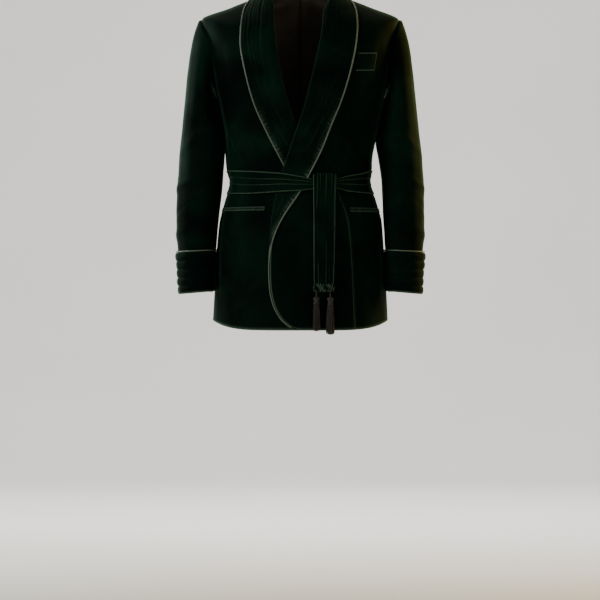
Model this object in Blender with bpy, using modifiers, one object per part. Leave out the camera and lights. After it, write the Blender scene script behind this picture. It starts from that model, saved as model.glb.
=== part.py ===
"""Smoking jacket with a shawl collar, quilted cuffs and a tied sash.

Metres, +Z up, worn form. The jacket faces -Y and +X is the wearer's left. The origin is the middle of the
neck at the height of the neck points, where the shoulders carry the jacket. Every piece of cloth is a thin
wall on the same body or sleeve surface, so that neighbouring pieces meet at their seams.
"""
import functools
import math

import bmesh
import bpy
from mathutils import Vector

MM = 0.001

# Driving sizes
WALL = 2.2 * MM
SEAM = 0.45 * MM
LEAF_WALL = 2.0 * MM
CUFF_WALL = 2.4 * MM
BELT_WALL = 1.8 * MM
CORD_RADIUS = 2.1 * MM
CUFF_CORD_RADIUS = 1.8 * MM
SIDE_SEAM_ANGLE = 97.0
ARMHOLE_HALF_ANGLE = 25.0
ARMPIT_LEVEL = 0.80
SHOULDER_LEVEL = 0.955
NECK_LEVEL = 1.0

# The body, from hem to collar stand. Heights at the side, the front and the back, then half the width, the
# depths from the side line to the front and the back, and the power that squares the ring's corners.
BODY_COLUMNS = ("level", "side_z", "front_z", "back_z", "half_width", "front", "back", "power")
BODY = (
    (0.00, -0.7740, -0.7970, -0.7920, 0.2055, 0.142, 0.138, 0.86),
    (0.12, -0.6930, -0.6980, -0.6950, 0.2020, 0.141, 0.137, 0.86),
    (0.22, -0.6175, -0.6190, -0.6180, 0.1960, 0.137, 0.134, 0.86),
    (0.32, -0.5480, -0.5480, -0.5480, 0.1860, 0.131, 0.126, 0.86),
    (0.40, -0.4950, -0.4950, -0.4950, 0.1745, 0.124, 0.116, 0.87),
    (0.47, -0.4480, -0.4480, -0.4480, 0.1685, 0.119, 0.109, 0.88),
    (0.52, -0.4130, -0.4130, -0.4130, 0.1680, 0.120, 0.110, 0.88),
    (0.60, -0.3580, -0.3580, -0.3580, 0.1760, 0.127, 0.118, 0.86),
    (0.70, -0.2900, -0.2900, -0.2880, 0.1900, 0.134, 0.128, 0.84),
    (0.80, -0.2250, -0.2240, -0.2200, 0.2030, 0.137, 0.133, 0.82),
    (0.86, -0.1700, -0.1740, -0.1620, 0.2130, 0.134, 0.129, 0.80),
    (0.91, -0.1160, -0.1360, -0.1100, 0.2220, 0.126, 0.120, 0.80),
    (0.955, -0.0660, -0.1080, -0.0660, 0.2320, 0.116, 0.111, 0.84),
    (0.98, -0.0350, -0.0930, -0.0300, 0.1600, 0.107, 0.099, 0.90),
    (1.00, -0.0030, -0.0760, 0.0060, 0.0790, 0.084, 0.074, 0.96),
    (1.05, 0.0150, -0.0400, 0.0240, 0.0690, 0.068, 0.066, 0.98),
    (1.10, 0.0280, -0.0060, 0.0380, 0.0650, 0.064, 0.063, 1.00),
)

# The collar leaves, seen from the front: the roll line, which is also the front's edge, and the corded edge.
# The left leaf lies over and tapers into the front's edge below the belt.
LAPEL_COLUMNS = ("z", "roll", "edge")
LEFT_LAPEL = (
    (-0.620, -0.0738, -0.0690),
    (-0.578, -0.0696, -0.0590),
    (-0.530, -0.0646, -0.0362),
    (-0.480, -0.0557, -0.0016),
    (-0.440, -0.0440, 0.0190),
    (-0.415, -0.0370, 0.0310),
    (-0.369, -0.0240, 0.0525),
    (-0.320, -0.0090, 0.0710),
    (-0.278, 0.0063, 0.0900),
    (-0.230, 0.0195, 0.1070),
    (-0.172, 0.0345, 0.1225),
    (-0.130, 0.0445, 0.1300),
    (-0.090, 0.0515, 0.1345),
    (-0.055, 0.0540, 0.1325),
)
RIGHT_LAPEL = (
    (-0.425, 0.0250, -0.0340),
    (-0.415, 0.0216, -0.0385),
    (-0.369, 0.0070, -0.0630),
    (-0.320, -0.0090, -0.0870),
    (-0.278, -0.0216, -0.1060),
    (-0.230, -0.0350, -0.1210),
    (-0.172, -0.0480, -0.1340),
    (-0.130, -0.0555, -0.1405),
    (-0.090, -0.0610, -0.1405),
    (-0.055, -0.0635, -0.1370),
)
LEFT_LEAF_END = -0.560
RIGHT_LEAF_END = -0.410
COLLAR_CORD_END = -0.604

# The collar round the neck, from the shoulder to the centre back, by angle and level on the body
NECK_COLUMNS = ("at", "roll_angle", "roll_level", "seam_angle", "seam_level", "edge_angle", "edge_level")
NECK = (
    (1, 57.0, 1.004, 61.5, 1.0030, 88.0, 0.9868),
    (2, 68.0, 1.024, 71.0, 1.0034, 100.0, 0.9862),
    (3, 83.0, 1.046, 85.0, 1.0034, 113.0, 0.9852),
    (4, 102.0, 1.066, 103.0, 1.0034, 128.0, 0.9844),
    (5, 126.0, 1.084, 127.0, 1.0034, 145.0, 0.9840),
    (6, 153.0, 1.096, 153.5, 1.0034, 163.0, 0.9840),
    (7, 179.6, 1.100, 179.6, 1.0034, 179.6, 0.9840),
)

# The front's edges below the collar, seen from the front: the over front's corded one with its round corner,
# and the under front's hidden one, whose edge shows through as a crisp line
EDGE_COLUMNS = ("z", "x")
OVER_EDGE = (
    (-0.7975, -0.0050),
    (-0.7940, -0.0181),
    (-0.7840, -0.0340),
    (-0.7700, -0.0482),
    (-0.7340, -0.0663),
    (-0.6950, -0.0736),
    (-0.6500, -0.0752),
    (-0.6200, -0.0738),
)
UNDER_EDGE = (
    (-0.7975, 0.1230),
    (-0.7200, 0.1210),
    (-0.6500, 0.1180),
    (-0.5480, 0.1090),
    (-0.4800, 0.0850),
    (-0.4500, 0.0480),
    (-0.4250, 0.0250),
)
EDGE_INSET = 4.8 * MM
NECK_CORNER_ANGLE = 62.6

# How far the over front stands off the body where it lies on the under front and its collar, the place across
# where it begins to come back to the body, and the width in which it does
LIFT_COLUMNS = ("z", "lift", "fade_start", "fade_width")
LIFT = (
    (-0.800, 3.7 * MM, 0.1262, 0.0034),
    (-0.650, 3.7 * MM, 0.1212, 0.0034),
    (-0.548, 3.7 * MM, 0.1122, 0.0034),
    (-0.480, 3.7 * MM, 0.0880, 0.0050),
    (-0.455, 4.0 * MM, 0.0700, 0.0300),
    (-0.435, 4.6 * MM, 0.0500, 0.0600),
    (-0.407, 8.2 * MM, 0.0450, 0.0800),
    (-0.370, 9.0 * MM, 0.0400, 0.0850),
    (-0.330, 8.8 * MM, 0.0400, 0.0850),
    (-0.300, 6.4 * MM, 0.0420, 0.0800),
    (-0.265, 2.6 * MM, 0.0500, 0.0750),
    (-0.220, 0.0, 0.0700, 0.0600),
    (0.100, 0.0, 0.0900, 0.0400),
)

# Soft folds raised in the wall, each a ridge between two points seen from the front or the back
FOLD_COLUMNS = ("face", "x0", "z0", "x1", "z1", "half_width", "height")
FOLDS = (
    ("front", -0.162, -0.305, -0.132, -0.402, 0.012, 4.0 * MM),
    ("front", -0.118, -0.350, -0.094, -0.402, 0.009, 3.0 * MM),
    ("front", 0.144, -0.325, 0.099, -0.402, 0.013, 4.0 * MM),
    ("front", 0.112, -0.345, 0.066, -0.404, 0.009, 3.0 * MM),
    ("front", -0.176, -0.585, -0.168, -0.740, 0.014, 5.0 * MM),
    ("front", -0.132, -0.560, -0.118, -0.700, 0.012, 2.5 * MM),
    ("front", 0.172, -0.570, 0.176, -0.760, 0.013, 4.5 * MM),
    ("front", -0.148, -0.480, -0.140, -0.505, 0.006, 2.0 * MM),
    ("back", -0.120, -0.330, -0.075, -0.402, 0.013, 4.0 * MM),
    ("back", 0.128, -0.320, 0.085, -0.402, 0.012, 4.0 * MM),
    ("back", -0.095, -0.505, -0.115, -0.700, 0.015, 5.0 * MM),
    ("back", 0.088, -0.510, 0.120, -0.720, 0.014, 4.5 * MM),
    ("back", 0.020, -0.505, 0.028, -0.640, 0.010, 2.5 * MM),
)


def named(rows, columns):
    """Turn a table's rows into dictionaries."""
    return [dict(zip(columns, row)) for row in rows]


def smooth_between(rows, key, column, value):
    """Read a column at a value of the key column, on a smooth curve through the rows."""
    if value <= rows[0][key]:
        return rows[0][column]
    if value >= rows[-1][key]:
        return rows[-1][column]
    last = len(rows) - 1
    at = next(i for i in range(last) if value <= rows[i + 1][key])
    gap = rows[at + 1][key] - rows[at][key]
    slope = (rows[at + 1][column] - rows[at][column]) / gap

    def tangent(i):
        if i == 0 or i == last:
            return slope
        before = (rows[i][column] - rows[i - 1][column]) / (rows[i][key] - rows[i - 1][key])
        after = (rows[i + 1][column] - rows[i][column]) / (rows[i + 1][key] - rows[i][key])
        if before * after <= 0.0:
            return 0.0
        return 2.0 * before * after / (before + after)

    u = (value - rows[at][key]) / gap
    start = rows[at][column] * (2 * u ** 3 - 3 * u ** 2 + 1) + gap * tangent(at) * (u ** 3 - 2 * u ** 2 + u)
    end = rows[at + 1][column] * (3 * u ** 2 - 2 * u ** 3) + gap * tangent(at + 1) * (u ** 3 - u ** 2)
    return start + end


def ease(value, start, end):
    """Go softly from 0 at start to 1 at end."""
    u = min(1.0, max(0.0, (value - start) / (end - start)))
    return u * u * (3.0 - 2.0 * u)


def mix(a, b, u):
    return a + (b - a) * u


BODY_ROWS = named(BODY, BODY_COLUMNS)
LEFT_ROWS = named(LEFT_LAPEL, LAPEL_COLUMNS)
RIGHT_ROWS = named(RIGHT_LAPEL, LAPEL_COLUMNS)
NECK_ROWS = named(NECK, NECK_COLUMNS)
LIFT_ROWS = named(LIFT, LIFT_COLUMNS)
FOLD_ROWS = named(FOLDS, FOLD_COLUMNS)
OVER_ROWS = named(OVER_EDGE, EDGE_COLUMNS)
UNDER_ROWS = named(UNDER_EDGE, EDGE_COLUMNS)


@functools.lru_cache(maxsize=None)
def ring(level):
    """Read every size of the body's ring at a level."""
    return {name: smooth_between(BODY_ROWS, "level", name, level) for name in BODY_COLUMNS[1:]}


def power_of(value, power):
    return math.copysign(abs(value) ** power, value)


def body_base(angle, level):
    """Give the point of the body at an angle from the front, positive towards the wearer's left."""
    size = ring(level)
    turn = math.radians(angle)
    across = math.sin(turn)
    along = math.cos(turn)
    depth = size["front"] if along > 0 else size["back"]
    middle = size["front_z"] if along > 0 else size["back_z"]
    x = size["half_width"] * power_of(across, size["power"])
    y = -depth * power_of(along, size["power"])
    z = mix(size["side_z"], middle, along * along)
    return Vector((x, y, z))


def fold_height(point, front):
    """Add up the soft folds at a point."""
    total = 0.0
    face = "front" if front else "back"
    for fold in FOLD_ROWS:
        if fold["face"] != face:
            continue
        dx = fold["x1"] - fold["x0"]
        dz = fold["z1"] - fold["z0"]
        length_squared = dx * dx + dz * dz
        along = ((point.x - fold["x0"]) * dx + (point.z - fold["z0"]) * dz) / length_squared
        away = ((point.x - fold["x0"]) * dz - (point.z - fold["z0"]) * dx) / math.sqrt(length_squared)
        if -0.1 < along < 1.1:
            fade = ease(along, -0.1, 0.4) * (1.0 - ease(along, 0.7, 1.1))
            total += fold["height"] * fade * math.exp(-(away / fold["half_width"]) ** 2)
    return total


def body_normal(angle, level):
    """Give the outward direction of the body at an angle and a level."""
    turn_step = 0.5
    level_step = 0.004
    across = body_base(angle + turn_step, level) - body_base(angle - turn_step, level)
    up = body_base(angle, level + level_step) - body_base(angle, level - level_step)
    return across.cross(up).normalized()


def body_point(angle, level, out=0.0):
    """Give a point of the body with its folds, moved outwards."""
    base = body_base(angle, level)
    front = abs(angle) < 90.0
    return base + body_normal(angle, level) * (out + fold_height(base, front))


def place_on_front(x, z):
    """Find the angle and the level of the body's point that is seen at x and z from the front."""
    low = 0.0
    high = NECK_LEVEL + 0.04
    for _ in range(40):
        level = (low + high) / 2.0
        size = ring(level)
        reach = abs(x) / size["half_width"]
        if reach >= 1.0:
            high = level
            continue
        along_squared = 1.0 - (reach ** (1.0 / size["power"])) ** 2
        if mix(size["side_z"], size["front_z"], along_squared) < z:
            low = level
        else:
            high = level
    size = ring(low)
    reach = min(1.0, abs(x) / size["half_width"])
    angle = math.degrees(math.asin(reach ** (1.0 / size["power"])))
    return math.copysign(angle, x), low


def wrap(angle):
    """Bring an angle to between -180 and 180 degrees."""
    return (angle + 180.0) % 360.0 - 180.0


FINISHES = {
    "velvet": ((0.008, 0.045, 0.028), 0.85),
    "cord": ((0.13, 0.18, 0.13), 0.55),
    "tassel": ((0.030, 0.028, 0.024), 0.70),
}


def keep(name, mesh, finish):
    """Add a finished piece with its own material to the jacket's collection."""
    colour, roughness = FINISHES[finish]
    material = bpy.data.materials.new(name + "_" + finish)
    material.use_nodes = True
    shader = material.node_tree.nodes["Principled BSDF"]
    shader.inputs["Base Color"].default_value = (*colour, 1.0)
    shader.inputs["Roughness"].default_value = roughness
    mesh.materials.append(material)
    piece = bpy.data.objects.new(name, mesh)
    JACKET.objects.link(piece)
    return piece


def grid_mesh(name, rows, around=False, along=False):
    """Loft a mesh through rows of points; a row may close around, and the rows may close along."""
    tall = len(rows)
    wide = len(rows[0])
    mesh = bpy.data.meshes.new(name)
    form = bmesh.new()
    corners = [[form.verts.new(point) for point in row] for row in rows]
    for i in range(tall if along else tall - 1):
        for j in range(wide if around else wide - 1):
            upper = (i + 1) % tall
            right = (j + 1) % wide
            form.faces.new((corners[i][j], corners[i][right], corners[upper][right], corners[upper][j]))
    form.to_mesh(mesh)
    form.free()
    mesh.shade_smooth()
    return mesh


def cloth(name, rows, wall, centred=False, around=False, finish="velvet"):
    """Make a sheet of cloth: rows run upwards and points towards the wearer's left, so it faces outwards."""
    piece = keep(name, grid_mesh(name, rows, around=around), finish)
    thickness = piece.modifiers.new("Wall", "SOLIDIFY")
    thickness.thickness = wall
    thickness.offset = 0.0 if centred else -1.0
    return piece


def cord(name, points, radius, cyclic=False):
    """Lay a round cord through points."""
    curve = bpy.data.curves.new(name, "CURVE")
    curve.dimensions = "3D"
    curve.bevel_depth = radius
    curve.bevel_resolution = 1
    curve.use_fill_caps = True
    spline = curve.splines.new("POLY")
    spline.points.add(len(points) - 1)
    for place, point in zip(spline.points, points):
        place.co = (*point, 1.0)
    spline.use_cyclic_u = cyclic
    piece = bpy.data.objects.new(name, curve)
    colour, roughness = FINISHES["cord"]
    material = bpy.data.materials.new(name + "_cord")
    material.use_nodes = True
    shader = material.node_tree.nodes["Principled BSDF"]
    shader.inputs["Base Color"].default_value = (*colour, 1.0)
    shader.inputs["Roughness"].default_value = roughness
    curve.materials.append(material)
    JACKET.objects.link(piece)
    return piece


def inset_line(line, distance):
    """Move a line of (x, z) points sideways; to the right of its way up when the distance is positive."""
    moved = []
    for i, (x, z) in enumerate(line):
        before = line[max(0, i - 1)]
        after = line[min(len(line) - 1, i + 1)]
        dx = after[0] - before[0]
        dz = after[1] - before[1]
        length = math.hypot(dx, dz)
        moved.append((x + distance * dz / length, z - distance * dx / length))
    return moved


def line_of(rows, column, count):
    """Read (x, z) points at even heights through a table."""
    low = rows[0]["z"]
    high = rows[-1]["z"]
    heights = [mix(low, high, i / (count - 1)) for i in range(count)]
    return [(smooth_between(rows, "z", column, z), z) for z in heights]


def edge_by_level(line, corner_angle):
    """Turn a front's edge line into pairs of level and angle that end at the neck."""
    placed = [place_on_front(x, z) for x, z in line]
    pairs = sorted((level, angle) for angle, level in placed)
    pairs = [pair for pair in pairs if pair[0] < NECK_LEVEL - 0.004]
    return pairs + [(NECK_LEVEL, corner_angle)]


def read_edge(pairs, level):
    """Read the edge's angle at a level, straight between the pairs."""
    if level <= pairs[0][0]:
        return pairs[0][1]
    for (low, first), (high, second) in zip(pairs, pairs[1:]):
        if level <= high:
            return mix(first, second, (level - low) / max(1e-9, high - low))
    return pairs[-1][1]


def angle_step(angle, level, distance):
    """Give the turn in degrees that covers a distance along the body's ring."""
    reach = (body_base(angle + 0.5, level) - body_base(angle - 0.5, level)).length
    return distance / reach


def side_line(level):
    """Give the angle of the line under the arm, from the side seam to the shoulder seam."""
    return mix(SIDE_SEAM_ANGLE, 92.0, ease(level, ARMPIT_LEVEL, SHOULDER_LEVEL))


ARMHOLE_MIDDLE = (ARMPIT_LEVEL + SHOULDER_LEVEL) / 2.0
ARMHOLE_REACH = (SHOULDER_LEVEL - ARMPIT_LEVEL) / 2.0


def armhole_half(level):
    """Give half the armhole's width in degrees at a level."""
    u = (level - ARMHOLE_MIDDLE) / ARMHOLE_REACH
    return ARMHOLE_HALF_ANGLE * math.sqrt(max(0.0, 1.0 - u * u))


def panel_levels(below, armhole_rows):
    """List the levels of a panel's rows: below the armpit, round the armhole and over the shoulder."""
    round_hole = [ARMHOLE_MIDDLE - ARMHOLE_REACH * math.cos(math.pi * i / armhole_rows)
                  for i in range(armhole_rows + 1)]
    return list(below) + round_hole + [0.9675, 0.980, 0.991, NECK_LEVEL]


FRONT_LEVELS = panel_levels((0.0, 0.006, 0.016, 0.035, 0.065, 0.11, 0.17, 0.24, 0.31, 0.37, 0.42, 0.465, 0.51, 0.56,
                             0.61, 0.665, 0.72, 0.765), 7)
BACK_LEVELS = panel_levels((0.0, 0.08, 0.16, 0.24, 0.32, 0.40, 0.46, 0.52, 0.59, 0.67, 0.74), 7)


def lift_at(x, z):
    """Give how far the over front stands off the body."""
    start = smooth_between(LIFT_ROWS, "z", "fade_start", z)
    end = start + smooth_between(LIFT_ROWS, "z", "fade_width", z)
    return smooth_between(LIFT_ROWS, "z", "lift", z) * (1.0 - ease(x, start, end))


def over_point(angle, level, out=0.0):
    """Give a point of the over front's outer face, moved outwards."""
    base = body_base(angle, level)
    return body_point(angle, level, out + lift_at(base.x, base.z))


def make_front_left():
    """Make the over front, on the wearer's left, with columns along the edge that shows through."""
    line = line_of(OVER_ROWS, "x", 24) + line_of(LEFT_ROWS, "roll", 30)[1:]
    edge = edge_by_level(inset_line(line, EDGE_INSET), NECK_CORNER_ANGLE)
    rows = []
    for level in FRONT_LEVELS:
        inner = read_edge(edge, level)
        outer = side_line(level) - armhole_half(level)
        outer -= angle_step(outer, level, SEAM)
        span = outer - inner
        z = body_base(inner + 0.5 * span, level).z
        fade_start = smooth_between(LIFT_ROWS, "z", "fade_start", z)
        fade_width = smooth_between(LIFT_ROWS, "z", "fade_width", z)
        first, _ = place_on_front(fade_start, z)
        second, _ = place_on_front(fade_start + fade_width, z)
        first = min(max(first, inner + 0.20 * span), inner + 0.66 * span)
        second = min(max(second, first + 0.012 * span), inner + 0.74 * span)
        angles = [mix(inner, first, i / 6) for i in range(7)]
        angles += [mix(second, outer, i / 5) for i in range(6)]
        rows.append([over_point(angle, level) for angle in angles])
    return cloth("front_left", rows, WALL)


def make_front_right():
    """Make the under front, on the wearer's right, which runs on under the over front to its hidden edge."""
    line = line_of(UNDER_ROWS, "x", 20) + line_of(RIGHT_ROWS, "roll", 26)[1:]
    edge = edge_by_level(inset_line(line, -EDGE_INSET), -NECK_CORNER_ANGLE)
    rows = []
    for level in FRONT_LEVELS:
        inner = read_edge(edge, level)
        outer = armhole_half(level) - side_line(level)
        outer += angle_step(outer, level, SEAM)
        rows.append([body_point(mix(outer, inner, i / 12), level) for i in range(13)])
    return cloth("front_right", rows, WALL)


def make_back(name, side):
    """Make one half of the back, from the side seam to the centre seam."""
    rows = []
    for level in BACK_LEVELS:
        outer = side_line(level) + armhole_half(level)
        outer += angle_step(outer, level, SEAM)
        centre = 180.0 - angle_step(179.0, level, SEAM)
        angles = [mix(outer, centre, i / 8) for i in range(9)]
        if side < 0:
            angles = [-angle for angle in reversed(angles)]
        rows.append([body_point(angle, level) for angle in angles])
    return cloth(name, rows, WALL)


ROLL_COLUMNS = ("z", "radius")
ROLL = (
    (-0.44, 1.6 * MM),
    (-0.30, 1.6 * MM),
    (-0.20, 2.4 * MM),
    (0.03, 3.2 * MM),
)
ROLL_ROWS = named(ROLL, ROLL_COLUMNS)
LEAF_HEIGHT = 2.3 * MM
CORD_HEIGHT = 3.2 * MM
SHOULDER_EASE = 2.8 * MM
FALL_BRIDGE = 4.0 * MM


def shoulder_ease(z):
    """Give how much further the collar stands off where the shoulders curve under it."""
    return SHOULDER_EASE * ease(z, -0.20, -0.10)


def leaf_stations(rows, end, count, neck_count):
    """List the collar's cross sections from its lower end to the centre back: roll, seam and edge places."""
    stations = []
    side = 1.0 if rows[-1]["roll"] > 0 else -1.0
    for i in range(count):
        z = mix(end, rows[-1]["z"], i / (count - 1))
        roll_x = smooth_between(rows, "z", "roll", z)
        edge_x = smooth_between(rows, "z", "edge", z)
        stations.append((place_on_front(roll_x, z), place_on_front(roll_x + side * (EDGE_INSET - 2 * SEAM), z),
                         place_on_front(edge_x, z)))
    joined = [value for place in stations[-1] for value in (side * place[0], place[1])]
    neck = [dict(zip(NECK_COLUMNS, [0.0] + joined))] + NECK_ROWS
    for i in range(1, neck_count + 1):
        at = NECK_ROWS[-1]["at"] * i / neck_count
        sizes = {name: smooth_between(neck, "at", name, at) for name in NECK_COLUMNS[1:]}
        stations.append(((side * sizes["roll_angle"], sizes["roll_level"]),
                         (side * sizes["seam_angle"], sizes["seam_level"]),
                         (side * sizes["edge_angle"], sizes["edge_level"])))
    return stations


def from_edge(roll, edge, distance, surface):
    """Give the share of the way from the roll line that lies a distance short of the edge."""
    step = 0.04
    speed = (surface(*edge) - surface(*between(roll, edge, 1.0 - step))).length / step
    return 1.0 - distance / speed


def between(first, second, u):
    """Give the place between two places on the body."""
    return mix(first[0], second[0], u), mix(first[1], second[1], u)


def leaf_section(station, surface):
    """Give the middle of the collar's cloth across one section, from the seam round the roll to the edge."""
    roll, seam, edge = station
    start = surface(*roll)
    normal = body_normal(*roll)
    toward = (surface(*between(roll, edge, 0.04)) - start).normalized()
    radius = smooth_between(ROLL_ROWS, "z", "radius", start.z)
    low = -WALL / 2.0
    seam_point = surface(*seam) + body_normal(*seam) * low
    centre = start + toward * radius + normal * (low + radius)
    turn = []
    for step in range(4):
        angle = math.radians(-90.0 + 60.0 * step)
        turn.append(centre - toward * radius * math.cos(angle) + normal * radius * math.sin(angle))
    section = [seam_point, (seam_point + turn[0]) / 2.0] + turn
    if seam[1] > 1.001:
        middle = between(seam, roll, 0.5)
        section[1] = surface(*middle) + body_normal(*middle) * low
    last = from_edge(roll, edge, 2.0 * CORD_RADIUS + 4.0 * SEAM, surface)
    first = min(0.5 * last, 2.0 * radius / (surface(*edge) - start).length)
    for step in range(1, 5):
        u = mix(first, last, step / 4)
        place = between(roll, edge, u)
        height = mix(low + 2.0 * radius, LEAF_HEIGHT, ease(u, 0.0, 0.8)) + shoulder_ease(start.z)
        bridge = FALL_BRIDGE * math.sin(math.pi * u) * ease(start.z, -0.10, 0.02)
        section.append(surface(*place) + body_normal(*place) * (height + bridge))
    return section


def make_collar(name, rows, end, count, neck_count, surface):
    """Make one leaf of the shawl collar with its stand."""
    sections = [leaf_section(station, surface) for station in leaf_stations(rows, end, count, neck_count)]
    if rows[-1]["roll"] > 0:
        grid = sections
    else:
        grid = [list(reversed(section)) for section in sections]
    return cloth(name, grid, LEAF_WALL, centred=True)


def make_collar_cord(name, rows, end, count, neck_count, surface):
    """Lay the corded piping along one leaf's outer edge."""
    points = []
    for roll, _, edge in leaf_stations(rows, end, count, neck_count):
        place = between(roll, edge, from_edge(roll, edge, CORD_RADIUS, surface))
        point = surface(*place)
        points.append(point + body_normal(*place) * (CORD_HEIGHT + shoulder_ease(point.z)))
    return cord(name, points, CORD_RADIUS)


def make_front_cord():
    """Lay the corded piping along the over front's edge, from the collar's end round the corner to the hem."""
    line = line_of(OVER_ROWS, "x", 24)
    line += [(smooth_between(LEFT_ROWS, "z", "roll", z), z) for z in (-0.610, -0.600, -0.590, -0.580, -0.570)]
    points = []
    for x, z in inset_line(line, CORD_RADIUS)[1:]:
        place = place_on_front(x, z)
        points.append(over_point(*place, out=-WALL / 2.0))
    return cord("front_cord", points, CORD_RADIUS)


# The sleeve, by height: the places of its outer and inner side across, the middle and half of its depth
SLEEVE_COLUMNS = ("z", "outer", "inner", "middle", "half_depth")
SLEEVE = (
    (-0.7075, 0.2810, 0.2100, -0.0370, 0.0500),
    (-0.6600, 0.2845, 0.2070, -0.0320, 0.0520),
    (-0.6155, 0.2880, 0.2035, -0.0265, 0.0540),
    (-0.5750, 0.2910, 0.1975, -0.0210, 0.0570),
    (-0.5300, 0.2920, 0.1910, -0.0145, 0.0600),
    (-0.4850, 0.2912, 0.1905, -0.0085, 0.0630),
    (-0.4400, 0.2890, 0.1840, -0.0035, 0.0660),
    (-0.3900, 0.2860, 0.1770, 0.0010, 0.0690),
    (-0.3500, 0.2825, 0.1792, 0.0030, 0.0720),
    (-0.3000, 0.2775, 0.1893, 0.0040, 0.0760),
    (-0.2650, 0.2735, 0.1970, 0.0040, 0.0780),
)
SLEEVE_ROWS = named(SLEEVE, SLEEVE_COLUMNS)
SLEEVE_POWER = 0.92
SLEEVE_WALL = 2.0 * MM
SLEEVE_TOP = -0.2650
SLEEVE_END = -0.7070
FRONT_SLEEVE_SEAM = 118.0
BACK_SLEEVE_SEAM = 250.0

# Soft folds of the sleeve: angle round the sleeve, height, their half widths, slant and how far they stand out
SLEEVE_FOLD_COLUMNS = ("angle", "z", "half_angle", "half_height", "slant", "height")
SLEEVE_FOLDS = (
    (40.0, -0.455, 60.0, 0.010, 0.00030, 3.0 * MM),
    (95.0, -0.500, 50.0, 0.010, -0.00035, 3.5 * MM),
    (70.0, -0.350, 45.0, 0.014, 0.00060, 3.0 * MM),
    (300.0, -0.420, 55.0, 0.012, -0.00040, 3.0 * MM),
    (265.0, -0.490, 50.0, 0.012, 0.00040, 3.5 * MM),
    (20.0, -0.570, 60.0, 0.012, 0.00025, 2.5 * MM),
)
SLEEVE_FOLD_ROWS = named(SLEEVE_FOLDS, SLEEVE_FOLD_COLUMNS)


def sleeve_fold(angle, z):
    """Add up the sleeve's soft folds."""
    total = 0.0
    for fold in SLEEVE_FOLD_ROWS:
        turn = wrap(angle - fold["angle"])
        away = z - fold["z"] - fold["slant"] * turn
        total += fold["height"] * math.exp(-(turn / fold["half_angle"]) ** 2 - (away / fold["half_height"]) ** 2)
    return total


def sleeve_point(side, angle, z, out=0.0):
    """Give a point of the sleeve: angle 0 is its outer side, 90 its front, 180 the side against the body."""
    size = {name: smooth_between(SLEEVE_ROWS, "z", name, z) for name in SLEEVE_COLUMNS[1:]}
    turn = math.radians(angle)
    centre = (size["outer"] + size["inner"]) / 2.0
    half = (size["outer"] - size["inner"]) / 2.0
    away = out + sleeve_fold(angle, z) * (0.5 - 0.5 * math.cos(turn) if abs(wrap(angle)) > 120 else 1.0) * \
        ease(wrap(angle) ** 2, 170.0 ** 2, 120.0 ** 2)
    x = centre + (half + away) * power_of(math.cos(turn), SLEEVE_POWER)
    y = size["middle"] - (size["half_depth"] + away) * power_of(math.sin(turn), SLEEVE_POWER)
    return Vector((side * x, y, z))


def armhole_point(angle):
    """Give the left armhole's edge where the sleeve starts, by the sleeve's own angle."""
    turn = math.radians(angle)
    level = ARMHOLE_MIDDLE + 0.965 * ARMHOLE_REACH * math.cos(turn)
    around = side_line(level) - 0.975 * ARMHOLE_HALF_ANGLE * math.sin(turn)
    return body_base(around, level)


HEAD_STEPS = 6
SLEEVE_HEIGHTS = (-0.300, -0.340, -0.380, -0.415, -0.450, -0.485, -0.520, -0.560, -0.605, -0.655, SLEEVE_END)


def sleeve_rows(side, angles):
    """List the sleeve's rows from the cuff end up to the armhole, for a run of angles."""
    rows = []
    for z in reversed(SLEEVE_HEIGHTS):
        rows.append([sleeve_point(side, angle, z) for angle in angles])
    for step in range(HEAD_STEPS + 1):
        u = 1.0 - step / HEAD_STEPS
        row = []
        for angle in angles:
            top = 0.5 + 0.5 * math.cos(math.radians(angle))
            start = armhole_point(angle)
            end = sleeve_point(1.0, angle, SLEEVE_TOP)
            leave = Vector((mix(0.030, 0.075, top), 0.0, mix(0.000, -0.012, top)))
            arrive = Vector((mix(-0.004, 0.016, top), 0.0, -mix(0.040, 0.160, top)))
            point = start * (2 * u ** 3 - 3 * u ** 2 + 1) + leave * (u ** 3 - 2 * u ** 2 + u)
            point += end * (3 * u ** 2 - 2 * u ** 3) + arrive * (u ** 3 - u ** 2)
            row.append(Vector((side * point.x, point.y, point.z)))
        rows.append(row)
    return rows


def sleeve_run(first, last, count):
    """List angles between two sleeve seams, with one more beyond each seam for the wall's direction."""
    gap = math.degrees(SEAM / 0.06)
    spacing = (last - first - 2.0 * gap) / count
    return [first + gap + spacing * i for i in range(-1, count + 2)]


def walled(name, rows, wall):
    """Make a sheet of cloth whose wall is square to a row that runs on by one point past both of its seams."""
    outer = [row[1:-1] for row in rows]
    inner = []
    for i, row in enumerate(rows):
        below = rows[max(0, i - 1)]
        above = rows[min(len(rows) - 1, i + 1)]
        line = []
        for j in range(1, len(row) - 1):
            normal = (row[j + 1] - row[j - 1]).cross(above[j] - below[j]).normalized()
            line.append(row[j] - normal * wall)
        inner.append(line)
    loops = [front + list(reversed(back)) for front, back in zip(outer, inner)]
    mesh = grid_mesh(name, loops, around=True)
    form = bmesh.new()
    form.from_mesh(mesh)
    form.verts.ensure_lookup_table()
    wide = len(loops[0])
    half = wide // 2
    for start, turned in ((0, True), (wide * (len(loops) - 1), False)):
        for j in range(half - 1):
            corners = [start + j, start + j + 1, start + wide - 2 - j, start + wide - 1 - j]
            if turned:
                corners.reverse()
            form.faces.new([form.verts[k] for k in corners])
    form.to_mesh(mesh)
    form.free()
    mesh.shade_smooth()
    return keep(name, mesh, "velvet")


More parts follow.
